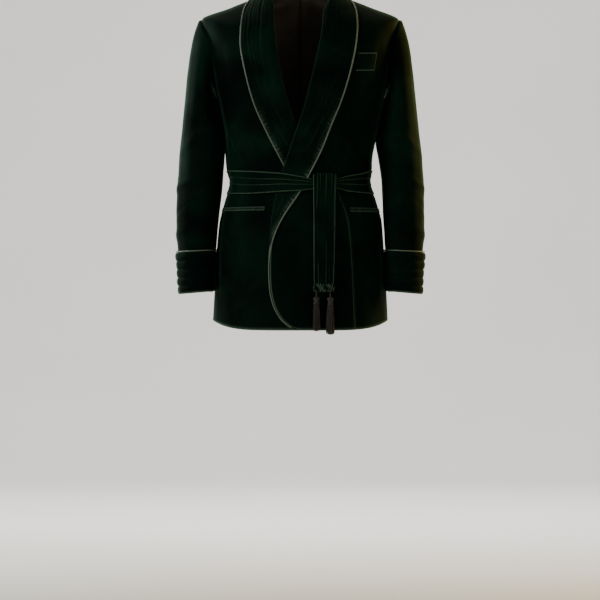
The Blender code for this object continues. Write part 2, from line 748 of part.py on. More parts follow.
def make_sleeve(side, hand):
    """Make the top and the under sleeve of one arm."""
    top = sleeve_run(BACK_SLEEVE_SEAM - 360.0, FRONT_SLEEVE_SEAM, 10)
    under = sleeve_run(FRONT_SLEEVE_SEAM, BACK_SLEEVE_SEAM, 7)
    for name, angles in (("sleeve_top_" + hand, top), ("sleeve_under_" + hand, under)):
        if side > 0:
            angles = list(reversed(angles))
        walled(name, sleeve_rows(side, angles), SLEEVE_WALL)


CUFF_TOP = -0.6130
CUFF_BOTTOM = -0.7095
CUFF_GAP = 1.5 * MM
CUFF_CHANNELS = 5
CHANNEL_HEIGHT = 2.4 * MM
CUFF_SIDES = 22


def cuff_point(side, angle, z, out):
    """Give a point of the cuff; its lower edge slants down towards the outer side."""
    point = sleeve_point(1.0, angle, max(z, SLEEVE_END - 0.0005), out)
    slant = mix(0.085, 0.045, (z - CUFF_BOTTOM) / (CUFF_TOP - CUFF_BOTTOM))
    return Vector((side * point.x, point.y, z - slant * (point.x - 0.2430)))


def make_cuff(side, hand):
    """Make one turned-back cuff, quilted in channels on its outer face."""
    angles = [360.0 * i / CUFF_SIDES for i in range(CUFF_SIDES)]
    if side > 0:
        angles = list(reversed(angles))
    rings = []
    steps = CUFF_CHANNELS * 3
    for i in range(steps + 1):
        z = mix(CUFF_BOTTOM, CUFF_TOP, i / steps)
        crest = CHANNEL_HEIGHT if i % 3 else 0.0
        out = CUFF_GAP + CUFF_WALL + crest
        rings.append([cuff_point(side, angle, z, out) for angle in angles])
    for z in (CUFF_TOP, CUFF_BOTTOM):
        rings.append([cuff_point(side, angle, z, CUFF_GAP) for angle in angles])
    name = "cuff_" + hand
    keep(name, grid_mesh(name, rings, around=True, along=True), "velvet")
    lie = CUFF_GAP + CUFF_WALL - 0.8 * MM
    above = CUFF_TOP + CUFF_CORD_RADIUS + SEAM
    cord("cuff_cord_" + hand, [cuff_point(side, angle, above, lie) for angle in angles], CUFF_CORD_RADIUS, True)


# The sash round the waist, by the angle from its free end at the wearer's left of the knot, round the back:
# the heights of its edges and how far it lies off the body
BELT_COLUMNS = ("angle", "top", "bottom", "out")
BELT = (
    (19.0, -0.4450, -0.4670, 8.6 * MM),
    (27.0, -0.4435, -0.4690, 8.2 * MM),
    (36.0, -0.4357, -0.4755, 7.4 * MM),
    (54.0, -0.4286, -0.4780, 4.2 * MM),
    (75.0, -0.4215, -0.4785, 2.3 * MM),
    (95.0, -0.4210, -0.4770, 2.1 * MM),
    (180.0, -0.4230, -0.4765, 2.1 * MM),
    (275.0, -0.4237, -0.4735, 2.2 * MM),
    (318.0, -0.4265, -0.4765, 4.0 * MM),
    (334.0, -0.4280, -0.4775, 8.6 * MM),
    (347.0, -0.4296, -0.4770, 11.2 * MM),
    (359.0, -0.4371, -0.4745, 11.4 * MM),
    (368.0, -0.4446, -0.4700, 10.6 * MM),
    (373.0, -0.4455, -0.4690, 9.8 * MM),
)
BELT_ROWS = named(BELT, BELT_COLUMNS)
BELT_STATIONS = 39

# The sash's soft lengthwise folds, from its top edge to its bottom edge
PLEAT_COLUMNS = ("share", "rise")
PLEATS = ((0.0, 0.0), (0.11, 1.6 * MM), (0.24, 0.1 * MM), (0.43, 1.9 * MM), (0.63, 0.1 * MM), (0.82, 1.7 * MM),
          (1.0, 0.0))
PLEAT_ROWS = named(PLEATS, PLEAT_COLUMNS)


def level_at(angle, z):
    """Find the level at which the body reaches a height at an angle."""
    low = 0.0
    high = SHOULDER_LEVEL
    for _ in range(40):
        level = (low + high) / 2.0
        if body_base(angle, level).z < z:
            low = level
        else:
            high = level
    return low


def off_body(angle, z, out):
    """Give a point that lies off the body's plain form at an angle and a height."""
    level = level_at(angle, z)
    return body_base(angle, level) + body_normal(angle, level) * out


def make_belt():
    """Make the sash round the waist, with its lengthwise folds, open where its end hangs over it."""
    columns = []
    for i in range(BELT_STATIONS + 1):
        angle = mix(BELT_ROWS[0]["angle"], BELT_ROWS[-1]["angle"], i / BELT_STATIONS)
        size = {name: smooth_between(BELT_ROWS, "angle", name, angle) for name in BELT_COLUMNS[1:]}
        turn = wrap(angle)
        columns.append([off_body(turn, mix(size["top"], size["bottom"], pleat["share"]), size["out"] + pleat["rise"])
                        for pleat in reversed(PLEAT_ROWS)])
    rows = [list(row) for row in zip(*columns)]
    return cloth("belt_band", rows, BELT_WALL, centred=True)


# The sash's end, folded over the band: height, how far it lies off the body, its two edges and its gathers' rise
END_COLUMNS = ("at", "z", "out", "right", "left", "gather")
END_STRIP = (
    (0, -0.4425, 8.0 * MM, 0.0300, 0.0820, 0.2 * MM),
    (1, -0.4350, 7.8 * MM, 0.0298, 0.0830, 0.6 * MM),
    (2, -0.4308, 10.6 * MM, 0.0295, 0.0835, 1.8 * MM),
    (3, -0.4330, 14.6 * MM, 0.0292, 0.0838, 2.4 * MM),
    (4, -0.4430, 15.9 * MM, 0.0292, 0.0835, 2.4 * MM),
    (5, -0.4570, 16.4 * MM, 0.0294, 0.0830, 2.0 * MM),
    (6, -0.4730, 15.8 * MM, 0.0296, 0.0825, 1.7 * MM),
    (7, -0.4950, 13.8 * MM, 0.0298, 0.0820, 1.4 * MM),
    (8, -0.5300, 12.6 * MM, 0.0300, 0.0815, 1.2 * MM),
    (9, -0.5750, 12.8 * MM, 0.0302, 0.0806, 1.2 * MM),
    (10, -0.6200, 13.6 * MM, 0.0304, 0.0796, 1.2 * MM),
    (11, -0.6600, 14.4 * MM, 0.0308, 0.0785, 1.4 * MM),
    (12, -0.6880, 15.0 * MM, 0.0312, 0.0775, 1.8 * MM),
)
END_ROWS = named(END_STRIP, END_COLUMNS)
GATHERS = 5


def make_belt_end():
    """Make the sash's hanging end with rounded gathers, turned over the band at its top."""
    rows = []
    spans = 2 * GATHERS
    for row in reversed(END_ROWS):
        line = []
        for j in range(spans + 1):
            x = mix(row["right"], row["left"], j / spans)
            rise = row["gather"] * (1.0 if j % 2 else 0.0)
            if j in (0, spans):
                rise = -0.5 * row["gather"]
            angle, level = place_on_front(x, row["z"])
            base = body_base(angle, level)
            normal = body_normal(angle, level)
            turned = 0.6 if row["at"] < 2 else 1.0
            line.append(Vector((x, base.y, row["z"])) + Vector((0.0, normal.y, 0.0)) * (row["out"] + rise * turned))
        rows.append(line)
    return cloth("belt_end", rows, BELT_WALL, centred=True)


HEM_TOP = -0.6892
HEM_BOTTOM = -0.7072
HEM_RIGHT = 0.0312
HEM_LEFT = 0.0775
HEM_OUT = 15.0 * MM
HEM_WALL = 3.0 * MM
HEM_GATHERS = 9


def make_belt_hem():
    """Make the ruched band across the sash's end."""
    rows = []
    spans = 2 * HEM_GATHERS
    for u, swell in ((0.0, 0.0), (0.3, 1.0), (0.7, 1.0), (1.0, 0.0)):
        z = mix(HEM_BOTTOM, HEM_TOP, u)
        line = []
        for j in range(spans + 1):
            x = mix(HEM_RIGHT, HEM_LEFT, j / spans)
            rise = (1.4 * MM if j % 2 else 0.0) + 0.8 * MM * swell
            base = body_base(*place_on_front(x, z))
            line.append(Vector((x, base.y - HEM_OUT - rise, z)))
        rows.append(line)
    return cloth("belt_hem", rows, HEM_WALL, centred=True)


# The two tassels: place across, heights of the head's top and bottom and of the skirt's end, and its radius
TASSEL_COLUMNS = ("name", "x", "head_top", "head_bottom", "skirt_end", "skirt_radius")
TASSELS = (
    ("tassel_right", 0.0370, -0.7180, -0.7330, -0.7995, 9.0 * MM),
    ("tassel_left", 0.0692, -0.7190, -0.7355, -0.8075, 10.5 * MM),
)
TASSEL_ROWS = named(TASSELS, TASSEL_COLUMNS)
STRANDS_ACROSS = 5
HEAD_RADIUS = 7.2 * MM
STRAND_GAP = 0.35 * MM

# A tassel's head from its skirt up to its cord: share of the head's height and radius in millimetres
HEAD_COLUMNS = ("share", "radius")
HEAD = ((0.0, 7.2), (0.12, 7.0), (0.22, 5.4), (0.32, 5.4), (0.45, 7.0), (0.70, 7.6), (0.90, 5.6), (1.0, 2.2),
        (1.65, 1.5))
HEAD_ROWS = named(HEAD, HEAD_COLUMNS)


def make_tassel(row):
    """Make one tassel: a turned head on its cord, and strands that stand apart below it."""
    count = STRANDS_ACROSS
    height = row["head_top"] - row["head_bottom"]
    z = (HEM_TOP + HEM_BOTTOM) / 2.0
    y = body_base(*place_on_front(row["x"], z)).y - HEM_OUT - 1.0 * MM
    form = bmesh.new()
    bmesh.ops.create_grid(form, x_segments=count, y_segments=count, size=1.0)
    for vert in form.verts:
        across, deep = vert.co.x, vert.co.y
        vert.co.x = HEAD_RADIUS * across * math.sqrt(1.0 - deep * deep / 2.0)
        vert.co.y = HEAD_RADIUS * deep * math.sqrt(1.0 - across * across / 2.0)
    cells = list(form.faces)
    bmesh.ops.reverse_faces(form, faces=cells)
    rim = [edge for edge in form.edges if edge.is_boundary]
    for low, high in zip(HEAD_ROWS, HEAD_ROWS[1:]):
        grown = bmesh.ops.extrude_edge_only(form, edges=rim)
        verts = [item for item in grown["geom"] if isinstance(item, bmesh.types.BMVert)]
        rim = [item for item in grown["geom"] if isinstance(item, bmesh.types.BMEdge)]
        for vert in verts:
            vert.co.x *= high["radius"] / low["radius"]
            vert.co.y *= high["radius"] / low["radius"]
            vert.co.z = high["share"] * height
    bmesh.ops.contextual_create(form, geom=rim)
    bmesh.ops.inset_individual(form, faces=cells, thickness=STRAND_GAP, use_even_offset=True)
    for share, spread in ((0.35, 0.62), (1.0, 1.0)):
        cells = bmesh.ops.extrude_discrete_faces(form, faces=cells)["faces"]
        for face in cells:
            middle = face.calc_center_median()
            length = row["head_bottom"] - row["skirt_end"]
            reach = math.hypot(middle.x, middle.y) / HEAD_RADIUS
            target = mix(1.0, row["skirt_radius"] / HEAD_RADIUS, spread)
            if share == 1.0:
                target /= mix(1.0, row["skirt_radius"] / HEAD_RADIUS, 0.62)
            for vert in face.verts:
                vert.co.x += middle.x * (target - 1.0)
                vert.co.y += middle.y * (target - 1.0)
                vert.co.z = -share * length * (1.0 - 0.035 * reach * reach)
    bmesh.ops.recalc_face_normals(form, faces=form.faces)
    for vert in form.verts:
        vert.co += Vector((row["x"], y, row["head_bottom"]))
    mesh = bpy.data.meshes.new(row["name"])
    form.to_mesh(mesh)
    form.free()
    mesh.shade_smooth()
    mesh.set_sharp_from_angle(angle=math.radians(50.0))
    return keep(row["name"], mesh, "tassel")


# Pockets by angle on the body: their two ends, the height of the middle at each end, their height and lips
POCKET_COLUMNS = ("name", "start", "end", "start_z", "end_z", "height", "lips")
POCKETS = (
    ("breast_welt", 35.0, 53.0, -0.1700, -0.1680, 0.0375, 1),
    ("hip_jet_right", -79.0, -23.5, -0.5145, -0.5135, 0.0090, 2),
    ("hip_jet_left", 38.8, 81.0, -0.5160, -0.5160, 0.0100, 2),
)
POCKET_ROWS = named(POCKETS, POCKET_COLUMNS)
POCKET_SPANS = 8
WELT_GAP = 0.4 * MM
WELT_WALL = 2.0 * MM


def make_pocket(row):
    """Make a welt or a pair of jets, lying on the front's own surface."""
    surface = body_point if row["start"] < 0 else over_point
    shares = ((0.0, 0.0), (0.5, 0.6), (1.0, 0.0)) if row["lips"] == 1 else \
        ((0.0, 0.2), (0.25, 1.4), (0.5, 0.0), (0.75, 1.4), (1.0, 0.2))
    rows = []
    for share, rise in shares:
        line = []
        for j in range(POCKET_SPANS + 1):
            u = j / POCKET_SPANS
            angle = mix(row["start"], row["end"], u)
            z = mix(row["start_z"], row["end_z"], u) + (share - 0.5) * row["height"]
            line.append(surface(angle, level_at(angle, z), out=WELT_WALL + WELT_GAP + rise * MM))
        rows.append(line)
    return cloth(row["name"], rows, WELT_WALL)


def main():
    """Build the whole jacket."""
    make_front_left()
    make_front_right()
    make_back("back_left", 1)
    make_back("back_right", -1)
    make_collar("collar_left", LEFT_ROWS, LEFT_LEAF_END, 14, 9, over_point)
    make_collar("collar_right", RIGHT_ROWS, RIGHT_LEAF_END, 11, 9, body_point)
    make_collar_cord("collar_cord_left", LEFT_ROWS, COLLAR_CORD_END, 24, 18, over_point)
    make_collar_cord("collar_cord_right", RIGHT_ROWS, RIGHT_LEAF_END, 18, 18, body_point)
    make_front_cord()
    for side, hand in ((1.0, "left"), (-1.0, "right")):
        make_sleeve(side, hand)
        make_cuff(side, hand)
    make_belt()
    make_belt_end()
    make_belt_hem()
    for row in TASSEL_ROWS:
        make_tassel(row)
    for row in POCKET_ROWS:
        make_pocket(row)


for old in list(bpy.data.objects):
    bpy.data.objects.remove(old)
JACKET = bpy.data.collections.new("smoking_jacket")
bpy.context.scene.collection.children.link(JACKET)
main()
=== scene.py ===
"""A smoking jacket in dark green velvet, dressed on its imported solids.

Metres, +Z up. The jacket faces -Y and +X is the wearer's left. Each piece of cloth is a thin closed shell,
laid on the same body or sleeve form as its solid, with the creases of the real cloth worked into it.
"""
import math
import random

import bmesh
import bpy
import numpy as np
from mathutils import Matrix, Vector, noise


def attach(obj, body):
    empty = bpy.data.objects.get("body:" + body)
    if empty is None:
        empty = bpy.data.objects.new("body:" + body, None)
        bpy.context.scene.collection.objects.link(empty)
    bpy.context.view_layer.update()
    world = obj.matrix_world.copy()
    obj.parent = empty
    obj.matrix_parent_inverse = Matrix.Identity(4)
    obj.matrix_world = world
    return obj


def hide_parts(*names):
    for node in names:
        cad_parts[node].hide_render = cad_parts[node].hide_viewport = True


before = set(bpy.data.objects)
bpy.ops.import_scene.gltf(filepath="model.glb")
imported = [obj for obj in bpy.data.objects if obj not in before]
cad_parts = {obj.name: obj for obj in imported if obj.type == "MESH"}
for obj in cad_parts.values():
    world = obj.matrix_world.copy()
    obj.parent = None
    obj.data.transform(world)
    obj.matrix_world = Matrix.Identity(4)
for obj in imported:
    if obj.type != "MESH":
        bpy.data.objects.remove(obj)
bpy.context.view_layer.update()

MM = 0.001
WALL = 2.2 * MM
LAP = 0.10 * MM
LEAF_WALL = 2.6 * MM
BELT_WALL = 1.8 * MM
CORD_RADIUS = 2.0 * MM
CUFF_CORD_RADIUS = 1.7 * MM
ARMHOLE_HALF_ANGLE = 25.0
ARMPIT_LEVEL = 0.80
SHOULDER_LEVEL = 0.955
NECK_LEVEL = 1.0
LEFT_NIP = 0.04


def table(columns, *rows):
    """Keep rows of numbers as named columns; the first column is the one they are read by."""
    return {name: np.array(values) for name, values in zip(columns.split(), zip(*rows))}


# The body's rings, from the hem to the top of the collar stand
BODY = table(
    "level side_z front_z back_z half_width front back power",
    (0.00, -0.7740, -0.7970, -0.7920, 0.2055, 0.142, 0.138, 0.86),
    (0.12, -0.6930, -0.6980, -0.6950, 0.2020, 0.141, 0.137, 0.86),
    (0.22, -0.6175, -0.6190, -0.6180, 0.1975, 0.137, 0.134, 0.86),
    (0.32, -0.5480, -0.5480, -0.5480, 0.1918, 0.131, 0.126, 0.86),
    (0.40, -0.4950, -0.4950, -0.4950, 0.1785, 0.124, 0.116, 0.87),
    (0.47, -0.4480, -0.4480, -0.4480, 0.1650, 0.119, 0.109, 0.88),
    (0.52, -0.4130, -0.4130, -0.4130, 0.1745, 0.120, 0.110, 0.88),
    (0.60, -0.3580, -0.3580, -0.3580, 0.1790, 0.127, 0.118, 0.86),
    (0.70, -0.2900, -0.2900, -0.2880, 0.1900, 0.134, 0.128, 0.84),
    (0.80, -0.2250, -0.2240, -0.2200, 0.2030, 0.137, 0.133, 0.82),
    (0.86, -0.1700, -0.1740, -0.1620, 0.2130, 0.134, 0.129, 0.80),
    (0.91, -0.1160, -0.1360, -0.1100, 0.2220, 0.126, 0.120, 0.80),
    (0.955, -0.0660, -0.1080, -0.0660, 0.2320, 0.1145, 0.111, 0.84),
    (0.98, -0.0350, -0.0930, -0.0300, 0.1600, 0.1035, 0.099, 0.90),
    (1.00, -0.0030, -0.0760, 0.0060, 0.0790, 0.084, 0.074, 0.96),
    (1.05, 0.0150, -0.0400, 0.0240, 0.0690, 0.068, 0.066, 0.98),
    (1.10, 0.0280, -0.0060, 0.0380, 0.0650, 0.064, 0.063, 1.00),
)

# Each collar leaf seen from the front: its roll line, which is the front's edge too, and its corded edge
LEFT_LAPEL = table(
    "z roll edge",
    (-0.620, -0.0738, -0.0690), (-0.578, -0.0696, -0.0590), (-0.530, -0.0646, -0.0362),
    (-0.480, -0.0557, -0.0016), (-0.440, -0.0440, 0.0190), (-0.415, -0.0370, 0.0310),
    (-0.369, -0.0222, 0.0525), (-0.320, -0.0055, 0.0710), (-0.278, 0.0090, 0.0900),
    (-0.230, 0.0213, 0.1070), (-0.172, 0.0352, 0.1225), (-0.130, 0.0445, 0.1300),
    (-0.090, 0.0515, 0.1345), (-0.055, 0.0540, 0.1320),
)
RIGHT_LAPEL = table(
    "z roll edge",
    (-0.425, 0.0250, -0.0340), (-0.415, 0.0216, -0.0385), (-0.369, 0.0060, -0.0630),
    (-0.320, -0.0115, -0.0870), (-0.278, -0.0255, -0.1060), (-0.230, -0.0390, -0.1210),
    (-0.172, -0.0515, -0.1340), (-0.130, -0.0580, -0.1405), (-0.090, -0.0610, -0.1398),
    (-0.055, -0.0635, -0.1345),
)
LEFT_LEAF_END = -0.596
RIGHT_LEAF_END = -0.410
COLLAR_CORD_END = -0.640

# The collar round the neck, from the shoulder to the centre back, by angle and level on the body
NECK = table(
    "at roll_angle roll_level seam_angle seam_level edge_angle edge_level",
    (1, 57.0, 1.004, 61.5, 1.0030, 88.0, 0.9908),
    (2, 68.0, 1.024, 71.0, 1.0034, 100.0, 0.9900),
    (3, 83.0, 1.046, 85.0, 1.0034, 113.0, 0.9884),
    (4, 102.0, 1.066, 103.0, 1.0034, 128.0, 0.9866),
    (5, 126.0, 1.084, 127.0, 1.0034, 145.0, 0.9852),
    (6, 153.0, 1.096, 153.5, 1.0034, 163.0, 0.9840),
    (7, 179.6, 1.100, 179.6, 1.0034, 179.6, 0.9840),
)

# The over front's corded edge below the collar, and the under front's hidden edge, seen from the front
OVER_EDGE = table(
    "z x",
    (-0.7975, -0.0050), (-0.7940, -0.0181), (-0.7840, -0.0340), (-0.7700, -0.0482), (-0.7340, -0.0663),
    (-0.6950, -0.0736), (-0.6500, -0.0752), (-0.6200, -0.0738),
)
UNDER_EDGE = table(
    "z x",
    (-0.7975, 0.1230), (-0.7200, 0.1210), (-0.6500, 0.1180), (-0.5480, 0.1090), (-0.4800, 0.0850),
    (-0.4500, 0.0480), (-0.4250, 0.0250),
)
EDGE_INSET = 4.8 * MM
NECK_CORNER_ANGLE = 62.6

# How far the over front stands off the body over the under front, and where it comes back to the body
LIFT = table(
    "z lift fade_start fade_width",
    (-0.800, 3.7 * MM, 0.1262, 0.0034), (-0.650, 3.7 * MM, 0.1212, 0.0034),
    (-0.548, 3.7 * MM, 0.1122, 0.0034), (-0.480, 3.7 * MM, 0.0880, 0.0050),
    (-0.455, 4.0 * MM, 0.0700, 0.0300), (-0.435, 4.6 * MM, 0.0500, 0.0600),
    (-0.407, 8.2 * MM, 0.0450, 0.0800), (-0.370, 9.0 * MM, 0.0400, 0.0850),
    (-0.330, 8.8 * MM, 0.0400, 0.0850), (-0.300, 6.4 * MM, 0.0420, 0.0800),
    (-0.265, 2.6 * MM, 0.0500, 0.0750), (-0.220, 0.0, 0.0700, 0.0600), (0.100, 0.0, 0.0900, 0.0400),
)

# Creases of the front and the back, seen from that side: two ends, how far the line bows sideways, half its
# width and its height, which is below nought for a trough
FRONT_CREASES = table(
    "x0 z0 x1 z1 bow half_width height",
    (-0.162, -0.305, -0.132, -0.402, 0.004, 0.0120, 4.0 * MM),
    (-0.118, -0.350, -0.094, -0.402, 0.003, 0.0090, 3.0 * MM),
    (0.144, -0.325, 0.099, -0.402, -0.004, 0.0130, 4.0 * MM),
    (0.112, -0.345, 0.066, -0.404, -0.003, 0.0090, 3.0 * MM),
    (-0.176, -0.585, -0.168, -0.740, 0.003, 0.0140, 5.0 * MM),
    (-0.132, -0.560, -0.118, -0.700, 0.003, 0.0120, 2.5 * MM),
    (0.172, -0.570, 0.176, -0.760, -0.003, 0.0130, 4.5 * MM),
    (-0.148, -0.480, -0.140, -0.505, 0.000, 0.0060, 2.0 * MM),
    (-0.1640, -0.330, -0.1440, -0.418, 0.005, 0.0050, -1.3 * MM),
    (-0.1400, -0.345, -0.1180, -0.420, 0.004, 0.0050, -1.4 * MM),
    (-0.1230, -0.378, -0.1080, -0.421, 0.002, 0.0035, 1.1 * MM),
    (-0.1480, -0.385, -0.1400, -0.422, 0.001, 0.0032, 1.0 * MM),
    (-0.1060, -0.385, -0.0820, -0.422, 0.002, 0.0040, -0.9 * MM),
    (-0.0860, -0.395, -0.0700, -0.425, 0.001, 0.0035, 0.8 * MM),
    (0.1500, -0.315, 0.1160, -0.400, -0.004, 0.0055, -1.3 * MM),
    (0.1300, -0.352, 0.0980, -0.416, -0.003, 0.0045, 1.0 * MM),
    (0.1180, -0.325, 0.0820, -0.392, -0.003, 0.0050, -1.1 * MM),
    (0.1560, -0.372, 0.1380, -0.416, -0.002, 0.0040, 1.0 * MM),
    (0.0960, -0.355, 0.0600, -0.412, -0.002, 0.0040, 0.9 * MM),
    (-0.1500, -0.479, -0.1560, -0.515, 0.000, 0.0035, 1.0 * MM),
    (-0.1320, -0.480, -0.1300, -0.507, 0.000, 0.0030, -0.8 * MM),
    (-0.1190, -0.480, -0.1130, -0.500, 0.000, 0.0032, 0.8 * MM),
    (0.0891, -0.478, 0.0949, -0.570, 0.001, 0.0032, 1.2 * MM),
    (0.1180, -0.480, 0.1210, -0.505, 0.000, 0.0035, 0.8 * MM),
    (0.1420, -0.480, 0.1500, -0.512, 0.000, 0.0040, 1.0 * MM),
    (-0.1600, -0.560, -0.1500, -0.700, 0.004, 0.0090, -1.3 * MM),
    (-0.1450, -0.640, -0.1420, -0.780, 0.002, 0.0100, 1.4 * MM),
    (0.1520, -0.580, 0.1600, -0.770, -0.003, 0.0100, -1.4 * MM),
    (0.1900, -0.120, 0.1720, -0.210, 0.003, 0.0080, -1.2 * MM),
    (-0.1900, -0.120, -0.1740, -0.215, -0.003, 0.0080, -1.2 * MM),
    (0.1780, -0.215, 0.1500, -0.290, -0.004, 0.0090, 1.3 * MM),
    (-0.1800, -0.220, -0.1560, -0.290, 0.004, 0.0090, 1.3 * MM),
    (-0.0700, -0.6585, -0.0460, -0.6660, 0.001, 0.0030, 1.3 * MM),
    (-0.0700, -0.6895, -0.0460, -0.6990, 0.001, 0.0032, 1.5 * MM),
    (-0.0670, -0.7125, -0.0430, -0.7220, 0.001, 0.0030, 1.3 * MM),
    (-0.0630, -0.7320, -0.0430, -0.7400, 0.001, 0.0028, 1.1 * MM),
    (-0.0100, -0.520, -0.0200, -0.640, 0.004, 0.0120, 1.4 * MM),
    (0.0100, -0.600, 0.0000, -0.760, 0.003, 0.0140, -1.2 * MM),
)
BACK_CREASES = table(
    "x0 z0 x1 z1 bow half_width height",
    (-0.120, -0.330, -0.075, -0.402, 0.000, 0.0130, 4.0 * MM),
    (0.128, -0.320, 0.085, -0.402, 0.000, 0.0120, 4.0 * MM),
    (-0.095, -0.505, -0.115, -0.700, 0.000, 0.0150, 5.0 * MM),
    (0.088, -0.510, 0.120, -0.720, 0.000, 0.0140, 4.5 * MM),
    (0.020, -0.505, 0.028, -0.640, 0.000, 0.0100, 2.5 * MM),
    (-0.098, -0.345, -0.060, -0.414, 0.003, 0.0050, -1.2 * MM),
    (-0.134, -0.360, -0.108, -0.416, 0.003, 0.0050, 1.3 * MM),
    (0.108, -0.350, 0.068, -0.414, -0.003, 0.0050, -1.2 * MM),
    (0.142, -0.350, 0.118, -0.416, -0.003, 0.0060, 1.4 * MM),
    (-0.052, -0.372, -0.030, -0.418, 0.002, 0.0050, 1.2 * MM),
    (0.040, -0.366, 0.022, -0.418, -0.002, 0.0055, 1.3 * MM),
    (-0.168, -0.130, -0.120, -0.205, 0.010, 0.0100, 1.8 * MM),
    (0.168, -0.125, 0.125, -0.200, -0.010, 0.0100, 1.8 * MM),
    (-0.070, -0.482, -0.084, -0.560, 0.000, 0.0060, 1.3 * MM),
    (-0.030, -0.482, -0.036, -0.600, 0.000, 0.0080, 1.4 * MM),
    (0.056, -0.482, 0.066, -0.580, 0.000, 0.0070, 1.4 * MM),
    (-0.140, -0.500, -0.156, -0.640, 0.000, 0.0100, -1.4 * MM),
    (0.142, -0.500, 0.158, -0.650, 0.000, 0.0100, -1.4 * MM),
)


def follow(rows, column, value):
    """Read a column at values of the first column, on a smooth curve through the rows."""
    key = next(iter(rows.values()))
    read = rows[column]
    value = np.clip(value, key[0], key[-1])
    at = np.clip(np.searchsorted(key, value, side="left") - 1, 0, len(key) - 2)
    gap = np.diff(key)
    slope = np.diff(read) / gap
    product = slope[:-1] * slope[1:]
    total = slope[:-1] + slope[1:]
    inner = np.where(product > 0.0, 2.0 * product / np.where(total == 0.0, 1.0, total), 0.0)
    tangent = np.concatenate(([slope[0]], inner, [slope[-1]]))
    u = (value - key[at]) / gap[at]
    start = read[at] * (2 * u ** 3 - 3 * u ** 2 + 1) + gap[at] * tangent[at] * (u ** 3 - 2 * u ** 2 + u)
    return start + read[at + 1] * (3 * u ** 2 - 2 * u ** 3) + gap[at] * tangent[at + 1] * (u ** 3 - u ** 2)


def ease(value, start, end):
    """Go softly from 0 at start to 1 at end."""
    u = np.clip((value - start) / (end - start), 0.0, 1.0)
    return u * u * (3.0 - 2.0 * u)


def mix(a, b, u):
    return a + (b - a) * u


def power_of(value, power):
    return np.copysign(np.abs(value) ** power, value)


def unit(vectors):
    """Give vectors their unit length."""
    return vectors / np.maximum(1e-12, np.linalg.norm(vectors, axis=-1, keepdims=True))


def calm(values, reach):
    """Smooth values along their first axis, over a reach of rows each way."""
    padded = np.pad(values, [(reach, reach)] + [(0, 0)] * (values.ndim - 1), mode="reflect",
                    reflect_type="odd")
    weight = np.hanning(2 * reach + 3)[1:-1]
    rows = [padded[i:i + len(values)] * share for i, share in enumerate(weight / weight.sum())]
    return np.sum(rows, axis=0)


def joined(x, y, z):
    return np.stack(np.broadcast_arrays(x, y, z), axis=-1)


def middle_share(along_squared, level):
    """Give the share of the front's or the back's height; the hem stays level till close to the side."""
    return 1.0 - (1.0 - along_squared) ** (1.0 + 1.5 * (1.0 - ease(level, 0.0, 0.3)))


def body_base(angle, level):
    """Give points of the body at angles from the front, positive towards the wearer's left."""
    angle, level = np.broadcast_arrays(angle, level)
    turn = np.radians(angle)
    across, along = np.sin(turn), np.cos(turn)
    front = along > 0
    depth = np.where(front, follow(BODY, "front", level), follow(BODY, "back", level))
    middle = np.where(front, follow(BODY, "front_z", level), follow(BODY, "back_z", level))
    power = follow(BODY, "power", level)
    nip = 1.0 - LEFT_NIP * np.maximum(across, 0.0) ** 4 * np.exp(-((level - 0.545) / 0.06) ** 2)
    return joined(follow(BODY, "half_width", level) * nip * power_of(across, power),
                  -depth * power_of(along, power),
                  mix(follow(BODY, "side_z", level), middle, middle_share(along * along, level)))


def crease_height(x, z, creases):
    """Add up the creases at points seen from their side."""
    total = np.zeros(np.shape(x))
    for i in range(len(creases["x0"])):
        c = {name: values[i] for name, values in creases.items()}
        dx, dz = c["x1"] - c["x0"], c["z1"] - c["z0"]
        length = math.hypot(dx, dz)
        along = ((x - c["x0"]) * dx + (z - c["z0"]) * dz) / length ** 2
        away = ((x - c["x0"]) * dz - (z - c["z0"]) * dx) / length
        away = away - c["bow"] * np.sin(np.pi * np.clip(along, 0.0, 1.0))
        fade = ease(along, -0.1, 0.4) * (1.0 - ease(along, 0.7, 1.1))
        total = total + c["height"] * fade * np.exp(-(away / c["half_width"]) ** 2)
    return total


def body_normal(angle, level):
    """Give the outward direction of the body."""
    across = body_base(angle + 0.5, level) - body_base(angle - 0.5, level)
    up = body_base(angle, level + 0.004) - body_base(angle, level - 0.004)
    return unit(np.cross(across, up))


def body_point(angle, level, out=0.0):
    """Give points of the body with its creases, moved outwards."""
    base = body_base(angle, level)
    front = np.abs(angle) < 90.0
    raised = np.where(front, crease_height(base[..., 0], base[..., 2], FRONT_CREASES),
                      crease_height(base[..., 0], base[..., 2], BACK_CREASES))
    return base + body_normal(angle, level) * np.expand_dims(np.asarray(out) + raised, -1)


def lift_at(x, z):
    """Give how far the over front stands off the body."""
    start = follow(LIFT, "fade_start", z)
    end = start + follow(LIFT, "fade_width", z)
    return follow(LIFT, "lift", z) * (1.0 - ease(x, start, end))


def over_point(angle, level, out=0.0):
    """Give points of the over front's outer face, moved outwards."""
    base = body_base(angle, level)
    return body_point(angle, level, out + lift_at(base[..., 0], base[..., 2]))


def place_on_front(x, z):
    """Find the angle and the level of the body's points that are seen at x and z from the front."""
    x, z = np.broadcast_arrays(np.asarray(x, float), np.asarray(z, float))
    low = np.zeros(x.shape)
    high = np.full(x.shape, NECK_LEVEL + 0.04)
    for _ in range(34):
        level = (low + high) / 2.0
        reach = np.abs(x) / follow(BODY, "half_width", level)
        along = 1.0 - np.clip(reach, 0.0, 1.0) ** (2.0 / follow(BODY, "power", level))
        share = middle_share(along, level)
        below = mix(follow(BODY, "side_z", level), follow(BODY, "front_z", level), share) < z
        below = below & (reach < 1.0)
        low = np.where(below, level, low)
        high = np.where(below, high, level)
    reach = np.clip(np.abs(x) / follow(BODY, "half_width", low), 0.0, 1.0)
    angle = np.degrees(np.arcsin(reach ** (1.0 / follow(BODY, "power", low))))
    return np.copysign(angle, x), low


